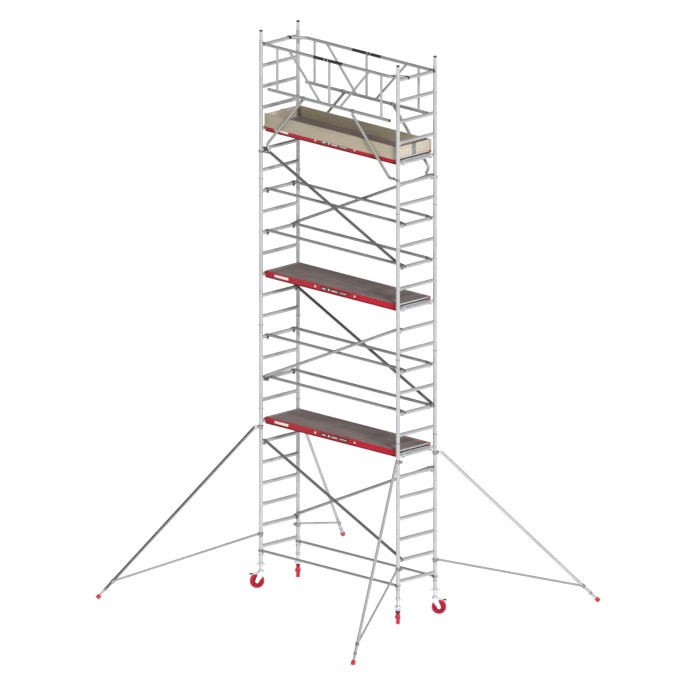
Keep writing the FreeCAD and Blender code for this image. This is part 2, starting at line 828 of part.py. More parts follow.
def guardrail_struts():
    """The two struts of the front guardrail: left with a knee, right with a bend."""
    left_foot_x, left_foot_z = left_strut_foot
    left_tube = strut_tube(left_strut_top_x, [left_strut_knee, left_strut_foot])
    clip_z = left_foot_z - strut_clip_arm / 2 - fit_gap
    left = [strut_eye(left_strut_top_x), left_tube,
            strut_clip(-1, left_foot_x + strut_diameter / 2, clip_z - strut_clip_arm / 2)]
    right_foot = (right_strut_foot_x, right_strut_knee[1])
    right_tube = strut_tube(right_strut_top_x, [right_strut_knee, right_foot])
    right = [strut_eye(right_strut_top_x), right_tube,
             strut_clip(1, right_strut_foot_x + weld_gap, right_strut_knee[1])]
    return left, right


# Adjustable legs and casters, built on the Z axis

def leg_nut():
    top = first_rung_height - post_below_rung
    bottom = top - leg_nut_height
    body = rod(vector(0, 0, bottom), vector(0, 0, top), leg_nut_diameter / 2)
    half_span = leg_nut_wing_span / 2
    wing_top = bottom + leg_nut_wing_height
    wings = block(vector(-half_span, -leg_nut_wing_width / 2, bottom),
                  vector(half_span, leg_nut_wing_width / 2, wing_top))
    bore = rod(vector(0, 0, bottom), vector(0, 0, top), spindle_radius + fit_gap)
    return body.fuse(wings).cut(bore)


def leg_spindle():
    """The spindle with its collar, a blind hole for the caster stem and a hollow top."""
    base = vector(0, 0, collar_bottom)
    body = rod(base, vector(0, 0, spindle_top), spindle_radius)
    collar = rod(base, base + vector(0, 0, collar_height), collar_diameter / 2)
    hole_top = base + vector(0, 0, stem_depth + fit_gap)
    hole = rod(base, hole_top, stem_diameter / 2 + running_clearance)
    hollow_start = hole_top + vector(0, 0, stem_floor)
    hollow = rod(hollow_start, vector(0, 0, spindle_top), spindle_radius - spindle_wall)
    return body.fuse(collar).cut(hole).cut(hollow)


def axle_point(y):
    return vector(caster_trail, y, wheel_radius)


def caster_fork():
    """The fork with its swivel head, stem and pedal pin, and the wheel's axle."""
    outer = fork_inner_half + fork_arm_thickness
    yoke_top = yoke_bottom + yoke_thickness
    head_top = collar_bottom - fit_gap
    fork = block(vector(-fork_half_length, -outer, yoke_bottom), vector(fork_half_length, outer, yoke_top))
    fork = fork.fuse(rod(vector(0, 0, yoke_top), vector(0, 0, head_top), swivel_head_radius))
    fork = fork.fuse(rod(vector(0, 0, yoke_top), vector(0, 0, collar_bottom + stem_depth), stem_diameter / 2))
    outline = ((-fork_half_length, yoke_top), (fork_half_length, yoke_top),
               (caster_trail + fork_boss_radius, wheel_radius), (caster_trail - fork_boss_radius, wheel_radius))
    for inner_y, outer_y in ((fork_inner_half, outer), (-fork_inner_half, -outer)):
        arm = plate(outline, inner_y, outer_y)
        fork = fork.fuse(arm).fuse(rod(axle_point(inner_y), axle_point(outer_y), fork_boss_radius))
    pedal_pin = rod(vector(pedal_pin_x, -outer, pedal_pin_z), vector(pedal_pin_x, outer, pedal_pin_z),
                    pedal_pin_radius)
    hole = rod(axle_point(-outer), axle_point(outer), axle_radius + running_clearance)
    fork = fork.fuse(pedal_pin).cut(hole).removeSplitter()
    half = axle_length / 2
    axle = rod(axle_point(-half), axle_point(half), axle_radius)
    for inner_y, outer_y in ((outer + weld_gap, half), (-outer - weld_gap, -half)):
        axle = axle.fuse(rod(axle_point(inner_y), axle_point(outer_y), axle_head_radius))
    return [fork, axle]


def wheel_section(points):
    """A solid turned about the axle from (distance along the axle, radius) points."""
    corner_points = [vector(caster_trail, y, wheel_radius + radius) for y, radius in points]
    outline = Part.makePolygon(corner_points + corner_points[:1])
    return Part.Face(outline).revolve(axle_point(0), vector(0, 1, 0), 360)


def caster_wheel():
    """The rim with its web and hub, and the tyre on it."""
    bore = axle_radius + running_clearance
    seat = wheel_radius - tyre_depth
    band = seat - rim_band
    hub = hub_width / 2
    rim = rim_width / 2
    web = web_thickness / 2
    right_side = [(hub, bore), (hub, hub_radius), (web, hub_radius), (web, band), (rim, band), (rim, seat)]
    left_side = [(-y, radius) for y, radius in reversed(right_side)]
    tyre_half = wheel_width / 2
    inside = seat + weld_gap
    shoulder = wheel_radius - tyre_edge
    tread = tyre_half - tyre_edge
    tyre_outline = [(tyre_half, inside), (tyre_half, shoulder), (tread, wheel_radius),
                    (-tread, wheel_radius), (-tyre_half, shoulder), (-tyre_half, inside)]
    return [wheel_section(right_side + left_side), wheel_section(tyre_outline)]


def brake_pedal():
    half = pedal_width / 2
    pin_start = vector(pedal_pin_x, -half, pedal_pin_z)
    pin_end = vector(pedal_pin_x, half, pedal_pin_z)
    tip_z = pedal_pin_z - pedal_drop
    up = pedal_thickness / 2
    outline = ((pedal_pin_x, pedal_pin_z + up), (pedal_reach, tip_z + up),
               (pedal_reach, tip_z - up), (pedal_pin_x, pedal_pin_z - up))
    pedal = plate(outline, -half, half).fuse(rod(pin_start, pin_end, pedal_barrel_radius))
    return pedal.cut(rod(pin_start, pin_end, pedal_pin_radius + running_clearance))


# Stabilizers, built with the post on the Z axis and the leg in the XZ plane

def leg_direction():
    slope = math.radians(leg_slope)
    return vector(math.cos(slope), 0, -math.sin(slope))


def leg_point(reach):
    """A point on the sloping leg's axis, at a distance from the post's axis."""
    drop = (reach - leg_elbow_reach) * math.tan(math.radians(leg_slope))
    return vector(reach, 0, leg_elbow_height - drop)


def coupler(height):
    """A clamp round the post with a lug for its tube, and the wing bolt in its ears."""
    inner = post_radius + fit_gap
    outer = inner + coupler_thickness
    centre = vector(0, 0, height)
    clamp = ring(centre, vector(0, 0, 1), inner, outer, coupler_height)
    ear_half = coupler_ear_height / 2
    ear_x = coupler_slot / 2 + coupler_ear_thickness
    ear_end = outer + coupler_ear_length
    ears = block(centre + vector(-ear_x, 0, -ear_half), centre + vector(ear_x, ear_end, ear_half))
    lug = block(centre + vector(0, -coupler_lug_width / 2, -coupler_lug_height / 2),
                centre + vector(coupler_lug_end - weld_gap, coupler_lug_width / 2, coupler_lug_height / 2))
    half = coupler_slot / 2
    slot = block(centre + vector(-half, 0, -coupler_height), centre + vector(half, 2 * ear_end, coupler_height))
    post = rod(centre - vector(0, 0, coupler_height), centre + vector(0, 0, coupler_height), inner)
    bolt_y = (outer + ear_end) / 2
    bolt_start = centre + vector(-coupler_bolt_half, bolt_y, 0)
    bolt_end = centre + vector(coupler_bolt_half, bolt_y, 0)
    hole = rod(bolt_start, bolt_end, coupler_bolt_radius + weld_gap)
    clamp = clamp.fuse(ears).fuse(lug).cut(slot).cut(post).cut(hole)
    bolt = rod(bolt_start, bolt_end, coupler_bolt_radius)
    wing_start = centre + vector(ear_x + weld_gap, outer, -coupler_bolt_radius)
    wing_end = centre + vector(ear_x + weld_gap + coupler_ear_thickness, ear_end, coupler_bolt_radius)
    wing = block(wing_start, wing_end)
    return [clamp, bolt.fuse(wing)]


def leg_clamp():
    """The clamp on the leg that the strut ends at."""
    inner = leg_tube_radius + fit_gap
    return ring(leg_point(low_strut_joint_reach), leg_direction(), inner, inner + leg_clamp_thickness,
                leg_clamp_width)


def stabilizer_tubes():
    """The leg's bent outer tube and the strut below it."""
    start = vector(coupler_lug_end, 0, leg_elbow_height)
    elbow = vector(leg_elbow_reach, 0, leg_elbow_height)
    leg = bent_tube([start, elbow, leg_point(leg_tube_end_reach)], leg_tube_radius, leg_tube_wall, leg_bend_radius)
    strut_start = vector(coupler_lug_end + low_strut_gap, 0, low_coupler_height)
    strut_end = leg_point(low_strut_joint_reach)
    strut = tube(strut_start, strut_end, low_strut_diameter / 2, low_strut_wall)
    clamp_radius = leg_tube_radius + fit_gap + leg_clamp_thickness + weld_gap
    middle = leg_point(low_strut_joint_reach)
    reach = leg_direction() * leg_clamp_width * 2
    return [leg, strut.cut(rod(middle - reach, middle + reach, clamp_radius))]


def stabilizer_foot():
    """The telescopic inner tube and its rubber boot, whose edge is flat on the ground."""
    direction = leg_direction()
    slope = math.radians(leg_slope)
    end_height = boot_radius * math.cos(slope) - boot_flat
    end_reach = leg_elbow_reach + (leg_elbow_height - end_height) / math.tan(slope)
    boot_end = leg_point(end_reach)
    boot_start = boot_end - direction * boot_length
    tube_end = boot_end - direction * boot_floor
    tube_start = leg_point(leg_tube_end_reach) - direction * inner_tube_overlap
    radius = leg_tube_radius - leg_tube_wall - inner_tube_clearance
    inner_tube = tube(tube_start, tube_end, radius, inner_tube_wall)
    boot = rod(boot_start, boot_end, boot_radius).cut(rod(boot_start, tube_end, radius + weld_gap))
    far = boot_end + vector(boot_length, boot_length, 0)
    near = boot_end - vector(boot_length, boot_length, 0)
    ground = block(vector(near.x, near.y, -boot_length), vector(far.x, far.y, 0))
    return [inner_tube, boot.cut(ground)]


def build():
    os.makedirs("parts", exist_ok=True)
    for number, (first_rung, count) in enumerate(zip(frame_starts(), frame_rung_counts), 1):
        save("left_frame_%d" % number, end_frame(-1, first_rung, count))
        save("right_frame_%d" % number, end_frame(1, first_rung, count))
    save("frame_spigots", frame_spigots())
    save("locking_clips", locking_clips())

    horizontal, diagonal, claws, triggers = braces()
    save("horizontal_braces", horizontal)
    save("diagonal_braces", diagonal)
    save("brace_claws", claws)
    save("claw_triggers", triggers)

    platform_pieces = {
        "platform_side_beams": lambda index: raised(side_beams(), index),
        "platform_cross_beams": lambda index: raised(cross_beams(), index),
        "platform_decks": lambda index: raised(decks(), index),
        "platform_hooks": lambda index: at_platform_corners(hook(), index),
        "wind_locks": lambda index: at_platform_corners(wind_lock(), index),
        "hatch_hinges": lambda index: raised(fixed_hinges(), index),
    }
    for node, pieces_on in platform_pieces.items():
        pieces = []
        for index in platform_rungs:
            pieces += pieces_on(index)
        save(node, pieces)
    for number, index in enumerate(platform_rungs, 1):
        save("hatch_%d" % number, raised(hatch(), index))

    save("toe_boards", toe_boards())
    save("toe_board_brackets", toe_board_brackets())

    front = guardrail()
    hooks = guardrail_hooks()
    save("guardrail_frames", front + [half_turned(piece) for piece in front])
    save("guardrail_hooks", hooks + [half_turned(piece) for piece in hooks])
    left_strut, right_strut = guardrail_struts()
    save("guardrail_strut_fl", left_strut)
    save("guardrail_strut_fr", right_strut)
    save("guardrail_strut_br", [half_turned(piece) for piece in left_strut])
    save("guardrail_strut_bl", [half_turned(piece) for piece in right_strut])

    nuts = []
    for name, (side, across) in corners.items():
        post = vector(side * half_length, across * half_width, 0)
        turn = caster_turns[name]
        nuts.append(placed(leg_nut(), post, turn))
        save("leg_spindle_" + name, [placed(leg_spindle(), post)])
        save("caster_fork_" + name, [placed(piece, post, turn) for piece in caster_fork()])
        save("caster_wheel_" + name, [placed(piece, post, turn) for piece in caster_wheel()])
        save("brake_pedal_" + name, [placed(brake_pedal(), post, turn)])

        swing = math.radians(stabilizer_angle)
        outward = math.degrees(math.atan2(across * math.sin(swing), side * math.cos(swing)))
        couplers = coupler(leg_elbow_height) + coupler(low_coupler_height) + [leg_clamp()]
        save("stabilizer_couplers_" + name, [placed(piece, post, outward) for piece in couplers])
        save("stabilizer_tubes_" + name, [placed(piece, post, outward) for piece in stabilizer_tubes()])
        save("stabilizer_foot_" + name, [placed(piece, post, outward) for piece in stabilizer_foot()])
    save("leg_nuts", nuts)


build()
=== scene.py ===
import math
import bpy
import bmesh
import numpy as np
from mathutils import Matrix, Vector


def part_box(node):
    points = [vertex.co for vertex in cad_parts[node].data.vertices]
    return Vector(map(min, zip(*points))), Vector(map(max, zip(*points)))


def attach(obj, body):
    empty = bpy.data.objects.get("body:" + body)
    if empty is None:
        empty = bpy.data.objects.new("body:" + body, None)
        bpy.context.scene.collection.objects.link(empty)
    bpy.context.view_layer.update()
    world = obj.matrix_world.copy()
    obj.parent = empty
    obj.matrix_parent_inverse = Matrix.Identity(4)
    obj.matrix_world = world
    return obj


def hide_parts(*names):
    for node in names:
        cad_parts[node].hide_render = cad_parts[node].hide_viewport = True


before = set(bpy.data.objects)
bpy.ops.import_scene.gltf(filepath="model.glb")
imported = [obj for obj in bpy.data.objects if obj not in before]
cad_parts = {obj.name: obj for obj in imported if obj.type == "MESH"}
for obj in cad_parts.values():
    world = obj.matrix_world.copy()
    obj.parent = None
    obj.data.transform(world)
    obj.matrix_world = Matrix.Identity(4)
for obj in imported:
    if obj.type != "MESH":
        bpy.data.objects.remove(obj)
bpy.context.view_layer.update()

print("frame loaded:", len(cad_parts), "nodes")

# the tower's main sizes, in metres, as the CAD model has them
frameLow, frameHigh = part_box("left_frame_1")
postRadius = (frameHigh[0] - frameLow[0]) / 2
halfBay = -(frameHigh[0] + frameLow[0]) / 2
halfWidth = frameHigh[1] - postRadius
tower = {"firstRung": 0.555, "pitch": 0.28, "rungs": (7, 4, 7, 7), "rungRadius": 0.024, "postWall": 0.0024,
         "belowRung": 0.21, "aboveRung": 0.07, "seam": 0.0004, "spigotRadius": 0.0227, "spigotOut": 0.13}
corners = {"fl": (-1, -1), "fr": (1, -1), "bl": (-1, 1), "br": (1, 1)}
platformRungs = (6, 13, 20)


def rungZ(index):
    return tower["firstRung"] + index * tower["pitch"]


# surfaces: every piece is a set of closed grids, worked out as whole arrays
class Shell:
    # collects grids of points and the faces between them, then makes one mesh
    def __init__(self):
        self.points, self.quads, self.caps, self.count = [], [], [], 0

    def grid(self, points, wrapRows=False):  # points: rows x columns x 3, columns always close on themselves
        rows, columns = points.shape[:2]
        index = np.arange(rows * columns).reshape(rows, columns) + self.count
        below = np.vstack([index, index[:1]]) if wrapRows else index
        right = np.roll(below, -1, axis=1)
        quads = np.stack([below[:-1], right[:-1], right[1:], below[1:]], axis=-1)
        self.quads.append(quads.reshape(-1, 4))
        self.points.append(points.reshape(-1, 3))
        self.count += rows * columns
        return index

    def cap(self, row):  # one many-sided face over a ring of points
        self.caps.append([int(i) for i in row])

    def piece(self, name, material, body, *nodes, smooth=35, slot=None):
        mesh = bpy.data.meshes.new(name)
        faces = np.concatenate(self.quads).tolist() + self.caps
        mesh.from_pydata(np.concatenate(self.points).tolist(), [], faces)
        work = bmesh.new()
        work.from_mesh(mesh)
        bmesh.ops.remove_doubles(work, verts=work.verts, dist=2e-6)
        bmesh.ops.dissolve_degenerate(work, edges=work.edges, dist=1e-6)
        bmesh.ops.recalc_face_normals(work, faces=work.faces)
        work.to_mesh(mesh)
        work.free()
        obj = bpy.data.objects.new(name, mesh)
        bpy.context.scene.collection.objects.link(obj)
        mesh.materials.append(material)
        mesh.shade_smooth()
        mesh.set_sharp_from_angle(angle=math.radians(smooth))
        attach(obj, body)
        if nodes:
            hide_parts(*nodes)
        return obj


def unit(v):
    v = np.asarray(v, float)
    return v / np.linalg.norm(v)


def axes(origin, forward, up=(0, 0, 1)):
    # a place: its origin, and unit axes x (forward), y and z (as near up as it can be)
    x = unit(forward)
    y = unit(np.cross(up, x))
    return np.asarray(origin, float), np.stack([x, y, np.cross(x, y)])


def put(points, place):  # moves local points to a place
    return place[0] + np.asarray(points) @ place[1]


home = axes((0, 0, 0), (1, 0, 0))


def carried(path, closed=False):
    # axes across a path: each is the last one turned by as much as the path turns
    path = np.asarray(path, float)
    step = np.diff(path, axis=0, append=path[:1]) if closed else np.diff(path, axis=0)
    step /= np.linalg.norm(step, axis=1)[:, None]
    if closed:
        tangent = step + np.roll(step, 1, axis=0)
    else:
        tangent = np.vstack([step[:1], step[1:] + step[:-1], step[-1:]])
    tangent /= np.linalg.norm(tangent, axis=1)[:, None]
    side = np.cross(tangent[0], (0, 0, 1) if abs(tangent[0][2]) < 0.9 else (1, 0, 0))
    sides = []
    for t in tangent:
        side = unit(side - t * (side @ t))
        sides.append(side)
    sides = np.array(sides)
    return path, tangent, sides, np.cross(tangent, sides)


def tubeGrid(path, radii, sides, flutes=0, depth=0.0, closed=False):
    # ring angle by path place: the axis plus radius times (cos a, sin a) in the axes across the path;
    # flutes make the radius fall by depth in that many hollows round the tube
    path, tangent, u, v = carried(path, closed)
    a = np.arange(sides) * 2 * math.pi / sides
    r = np.asarray(radii)[:, None] - depth * (0.5 + 0.5 * np.cos(flutes * a))[None, :] * (flutes > 0)
    cosine, sine = np.cos(a)[None, :, None], np.sin(a)[None, :, None]
    return path[:, None] + r[..., None] * (cosine * u[:, None] + sine * v[:, None])


def bent(points, radius, steps=8):
    # straight runs joined by arcs that touch both runs
    points = [np.asarray(p, float) for p in points]
    line = [points[0]]
    for before, corner, after in zip(points, points[1:], points[2:]):
        back, ahead = unit(before - corner), unit(after - corner)
        half = math.acos(float(np.clip(back @ ahead, -1, 1))) / 2
        inward = unit(back + ahead)
        centre = corner + inward * radius / math.sin(half)
        first, last = (corner + d * radius / math.tan(half) - centre for d in (back, ahead))
        sweep = math.pi - 2 * half
        t = np.linspace(0, 1, steps + 1)[:, None]
        line += list(centre + (np.sin((1 - t) * sweep) * first + np.sin(t * sweep) * last) / math.sin(sweep))
    return np.array(line + [points[-1]])


def pipe(shell, path, radius, wall, sides=28, flutes=0, depth=0.0, lip=0.0008):
    # a hollow tube: its outside, its rounded ends and its inside, as one closed surface
    path = np.asarray(path, float)
    a, b = unit(path[1] - path[0]), unit(path[-1] - path[-2])
    outside = np.vstack([path[:1], path[:1] + a * lip, path[1:-1], path[-1:] - b * lip, path[-1:]])
    radii = np.full(len(outside), radius)
    radii[[0, -1]] -= lip
    outer = tubeGrid(outside, radii, sides, flutes, depth)
    inner = tubeGrid(path, np.full(len(path), radius - wall), sides)
    shell.grid(np.concatenate([outer, inner[::-1]]), wrapRows=True)


def bar(shell, path, radii, sides=20):
    # a round bar with a radius at each point of its path, closed by flat ends
    index = shell.grid(tubeGrid(path, radii, sides))
    shell.cap(index[0])
    shell.cap(index[-1][::-1])


def turned(shell, profile, place, sides=40, closed=False):
    # (distance along x, radius) points turned round the place's x axis
    profile = np.asarray(profile, float)
    a = np.arange(sides) * 2 * math.pi / sides
    x = np.repeat(profile[:, :1], sides, axis=1)
    grid = np.stack([x, profile[:, 1:] * np.cos(a), profile[:, 1:] * np.sin(a)], axis=-1)
    index = shell.grid(put(grid, place), wrapRows=closed)
    if not closed:
        shell.cap(index[0])
        shell.cap(index[-1][::-1])


def roundedOutline(points, radius, steps=3):
    # a closed outline whose corners are quarter-like arcs between the midpoints of a cut corner
    points = np.asarray(points, float)
    before, after = np.roll(points, 1, axis=0), np.roll(points, -1, axis=0)
    a, b = before - points, after - points
    reach = np.minimum(radius, 0.45 * np.minimum(np.linalg.norm(a, axis=1), np.linalg.norm(b, axis=1)))[:,
            None]
    a, b = a / np.linalg.norm(a, axis=1)[:, None], b / np.linalg.norm(b, axis=1)[:, None]
    t = np.linspace(0, 1, steps + 1)[None, :, None]
    start, end = (points + a * reach)[:, None], (points + b * reach)[:, None]
    corner = points[:, None]
    return ((1 - t) ** 2 * start + 2 * t * (1 - t) * corner + t ** 2 * end).reshape(-1, 2)


def slab(shell, outline, start, end, place=home, edge=0.001):
    # an (x, z) outline carried along y from start to end, drawn in by a quarter round at both faces
    outline = np.asarray(outline, float)
    along = np.roll(outline, -1, axis=0) - np.roll(outline, 1, axis=0)
    along /= np.maximum(np.linalg.norm(along, axis=1), 1e-9)[:, None]
    area = np.sum(outline[:, 0] * np.roll(outline[:, 1], -1) - np.roll(outline[:, 0], -1) * outline[:, 1])
    normal = np.stack([along[:, 1], -along[:, 0]], axis=1) * np.sign(area)
    f = np.linspace(0, math.pi / 2, 3)
    y = np.concatenate([start + edge * (1 - np.cos(f)), end - edge * (1 - np.cos(f[::-1]))])
    inset = np.concatenate([edge * (1 - np.sin(f)), edge * (1 - np.sin(f[::-1]))])
    xz = outline[None] - inset[:, None, None] * normal[None]
    grid = np.stack([xz[..., 0], np.repeat(y[:, None], len(outline), axis=1), xz[..., 1]], axis=-1)
    index = shell.grid(put(grid, place))
    shell.cap(index[0])
    shell.cap(index[-1][::-1])


def box(shell, low, high, edge=0.001, place=home):
    (x0, y0, z0), (x1, y1, z1) = low, high
    outline = roundedOutline([(x0, z0), (x1, z0), (x1, z1), (x0, z1)], edge)
    slab(shell, outline, y0, y1, place, edge)


def arc(radius, start, end, steps, centre=(0, 0)):
    a = np.radians(np.linspace(start, end, steps + 1))
    return np.stack([centre[0] + radius * np.cos(a), centre[1] + radius * np.sin(a)], axis=1)


def ringOutline(inner, outer, start, end, steps=24):  # a C shape between two angles
    return np.vstack([arc(outer, start, end, steps), arc(inner, end, start, steps)])


def weld(shell, centre, barAxis, tubeAxis, barRadius, tubeRadius, bead=0.0028):
    # a rippled bead along the line where a bar runs square into a tube's side
    b, t = unit(barAxis), unit(tubeAxis)
    n = np.cross(b, t)
    a = np.arange(40) * 2 * math.pi / 40
    across, along = barRadius * np.sin(a), barRadius * np.cos(a)
    out = np.sqrt(tubeRadius ** 2 - across ** 2)
    path = np.asarray(centre, float) + out[:, None] * b + across[:, None] * n + along[:, None] * t
    radii = bead * (1 + 0.18 * np.cos(20 * a))
    shell.grid(tubeGrid(path, radii, 6, closed=True), wrapRows=True)


# shader maths: a socket that understands + - * / and comparisons
class Px:
    def __init__(self, tree, socket):
        self.tree, self.socket = tree, socket

    def maths(self, operation, a, b=0.0):
        return make(self.tree, "ShaderNodeMath", {"operation": operation}, {0: a, 1: b})

    def __add__(self, other): return self.maths("ADD", self, other)
    def __radd__(self, other): return self.maths("ADD", other, self)
    def __sub__(self, other): return self.maths("SUBTRACT", self, other)
    def __rsub__(self, other): return self.maths("SUBTRACT", other, self)
    def __mul__(self, other): return self.maths("MULTIPLY", self, other)
    def __rmul__(self, other): return self.maths("MULTIPLY", other, self)
    def __gt__(self, other): return self.maths("GREATER_THAN", self, other)


def make(tree, kind, settings=None, sockets=None, output=0):
    # adds a node: its settings first, then the values or links of its sockets
    node = tree.nodes.new(kind)
    for key, value in (settings or {}).items():
        if key == "stops":
            ramp = node.color_ramp
            while len(ramp.elements) < len(value):
                ramp.elements.new(0.5)
            for element, (place, colour) in zip(ramp.elements, value):
                element.position = place
                element.color = (*colour, 1)
        else:
            setattr(node, key, value)
    for key, value in (sockets or {}).items():
        socket = node.inputs[key]
        if isinstance(value, Px):
            tree.links.new(value.socket, socket)
        else:
            socket.default_value = value
    return Px(tree, node.outputs[output])


def rgba(colour):
    return (*colour, 1.0)


def newMaterial(name, fixed):
    material = bpy.data.materials.new(name)
    material.use_nodes = True
    tree = material.node_tree
    shader = tree.nodes["Principled BSDF"]
    for key, value in fixed.items():
        shader.inputs[key].default_value = value
    place = make(tree, "ShaderNodeTexCoord", output=3)
    return material, tree, shader, place


def noise(tree, place, scale, stretch=(1, 1, 1), detail=4.0):
    spot = make(tree, "ShaderNodeMapping", {}, {"Vector": place, "Scale": stretch})
    return make(tree, "ShaderNodeTexNoise", {}, {"Vector": spot, "Scale": scale, "Detail": detail})


def feed(tree, shader, colour, roughness, height, bump, distance):
    normal = make(tree, "ShaderNodeBump", {}, {"Strength": bump, "Distance": distance, "Height": height})
    for socket, value in (("Base Color", colour), ("Roughness", roughness), ("Normal", normal)):
        tree.links.new(value.socket, shader.inputs[socket])


def mixed(tree, factor, a, b):
    return make(tree, "ShaderNodeMix", {"data_type": "RGBA"},
                {0: factor, 6: rgba(a) if isinstance(a, tuple) else a,
                 7: rgba(b) if isinstance(b, tuple) else b}, 2)


def metal(name, light, dark, roughness, metallic, streak=(1, 1, 1), grain=60.0, bump=0.12, grime=0.35):
    # drawn or cast metal: two tones in streaks along the stretch, dull patches and fine scratches
    material, tree, shader, place = newMaterial(name, {"Metallic": metallic})
    streaks = noise(tree, place, grain, streak, 6.0)
    patches = noise(tree, place, 3.1, (1, 1, 1), 5.0)
    handled = make(tree, "ShaderNodeMapRange", {}, {0: patches, 1: 0.45, 2: 0.72, 3: 0.0, 4: 1.0})
    tone = streaks * 0.75 + patches * 0.25
    colour = mixed(tree, tone, dark, light)
    colour = mixed(tree, handled * grime, colour, tuple(0.62 * c for c in dark))
    feed(tree, shader, colour, roughness - 0.08 + 0.16 * streaks + 0.10 * handled, streaks, bump, 0.0006)
    return material


def coated(name, light, dark, roughness, coat=0.0, grain=180.0, bump=0.15, chips=None, shine=0.5):
    # paint, moulded plastic or rubber: a fine skin, faint mottling and, where asked, worn chips
    material, tree, shader, place = newMaterial(name, {"Coat Weight": coat, "Specular IOR Level": shine})
    skin = noise(tree, place, grain, (1, 1, 1), 3.0)
    mottle = noise(tree, place, 7.0, (1, 1, 1), 6.0)
    colour = mixed(tree, mottle, dark, light)
    if chips:
        spots = noise(tree, place, 46.0, (0.4, 1, 1), 8.0)
        colour = mixed(tree, (spots > 0.68) * 0.8, colour, chips)
    feed(tree, shader, colour, roughness - 0.07 + 0.14 * mottle, skin, bump, 0.0004)
    return material


def wood(name, light, dark, along, roughness=0.45):
    # long grain: rings stretched along the board, fine fibres, and a clear coat
    material, tree, shader, place = newMaterial(name, {"Coat Weight": 0.15, "Coat Roughness": 0.35})
    stretch = (0.55, 9, 9) if along == "x" else (9, 0.55, 9)
    rings = noise(tree, place, 2.2, stretch, 9.0)
    fine = noise(tree, place, 42.0, tuple(s * (0.2 if s < 1 else 0.6) for s in stretch), 4.0)
    bands = make(tree, "ShaderNodeValToRGB",
                 {"stops": [(0.30, dark), (0.47, light), (0.60, light), (0.74, dark)]},
                 {0: rings * 0.8 + fine * 0.2})
    feed(tree, shader, bands, roughness - 0.1 + 0.2 * fine, rings * 0.6 + fine * 0.4, 0.25, 0.0008)
    return material


def filmPly(name, light, dark):
    # plywood with a dark film: a pressed anti-slip mesh, dusty foot wear and scuffs along the deck
    material, tree, shader, place = newMaterial(name, {})
    cells = make(tree, "ShaderNodeTexVoronoi", {"feature": "DISTANCE_TO_EDGE"},
                 {"Vector": place, "Scale": 150.0})
    wear = noise(tree, place, 2.6, (0.5, 1.4, 1), 8.0)
    scuffs = noise(tree, place, 34.0, (0.15, 1, 1), 6.0)
    worn = make(tree, "ShaderNodeMapRange", {},
                {0: wear * 0.7 + scuffs * 0.3, 1: 0.38, 2: 0.66, 3: 0.0, 4: 1.0})
    feed(tree, shader, mixed(tree, worn, dark, light), 0.62 - 0.15 * worn, cells * 3.0 + scuffs * 0.2, 0.35,
         0.0007)
    return material


postMetal = metal("post_aluminium", (0.60, 0.605, 0.615), (0.48, 0.485, 0.50), 0.42, 0.45, (3, 3, 0.12))
rungMetal = metal("rung_aluminium", (0.58, 0.585, 0.595), (0.45, 0.455, 0.47), 0.42, 0.45, (3, 0.12, 3))
braceMetal = metal("brace_aluminium", (0.42, 0.43, 0.44), (0.30, 0.31, 0.32), 0.42, 0.5, (0.12, 3, 3))
# a darker copy of the brace metal: painted shade for the braces that fall to the right
shadedBrace = metal("shaded_brace_aluminium", (0.235, 0.24, 0.25), (0.15, 0.155, 0.16), 0.42, 0.5,
                    (0.12, 3, 3))
railMetal = metal("rail_aluminium", (0.50, 0.51, 0.51), (0.38, 0.39, 0.39), 0.42, 0.45, (0.12, 3, 3))
stayMetal = metal("stay_aluminium", (0.60, 0.60, 0.60), (0.46, 0.46, 0.47), 0.42, 0.45, (1, 1, 1), 30.0)
# darker copies of the stay metal: painted shade for the front-left leg and the front-left and back-right
# struts
shadedStay = metal("shaded_stay_aluminium", (0.38, 0.38, 0.38), (0.24, 0.24, 0.25), 0.22, 0.97, (1, 1, 1),
                   30.0)
shadedStrutStay = metal("painted_shade_stay_strut_aluminium", (0.33, 0.33, 0.33), (0.25, 0.25, 0.25), 0.50, 0.25, (1, 1, 1), 30.0)
strutMetal = metal("strut_aluminium", (0.46, 0.46, 0.42), (0.33, 0.34, 0.30), 0.45, 0.4, (1, 1, 1), 30.0)
beamMetal = metal("beam_aluminium", (0.74, 0.74, 0.75), (0.60, 0.60, 0.62), 0.38, 0.4, (3, 0.12, 3))
castMetal = metal("claw_casting", (0.30, 0.30, 0.32), (0.15, 0.15, 0.16), 0.5, 0.6, (1, 1, 1), 120.0, 0.3)
zincMetal = metal("zinc_plate", (0.74, 0.75, 0.77), (0.55, 0.56, 0.58), 0.36, 0.7, (1, 1, 1), 45.0, 0.1)
darkSteel = metal("dark_steel", (0.40, 0.41, 0.43), (0.25, 0.25, 0.27), 0.42, 0.7, (1, 1, 1), 90.0, 0.2)
# dark olive colour for the corner angles: painted shade in the boards' inside corners
shadeAngleSteel = metal("painted_shade_angle_steel", (0.26, 0.235, 0.18), (0.17, 0.15, 0.11), 0.5, 0.3, (1, 1, 1), 90.0, 0.2)
blackPlastic = coated("black_plastic", (0.030, 0.030, 0.033), (0.016, 0.016, 0.018), 0.45)
redCoat = coated("red_coating", (0.56, 0.004, 0.026), (0.42, 0.002, 0.016), 0.36, 0.0, 60.0, 0.06,
                 (0.30, 0.01, 0.02), 0.25)
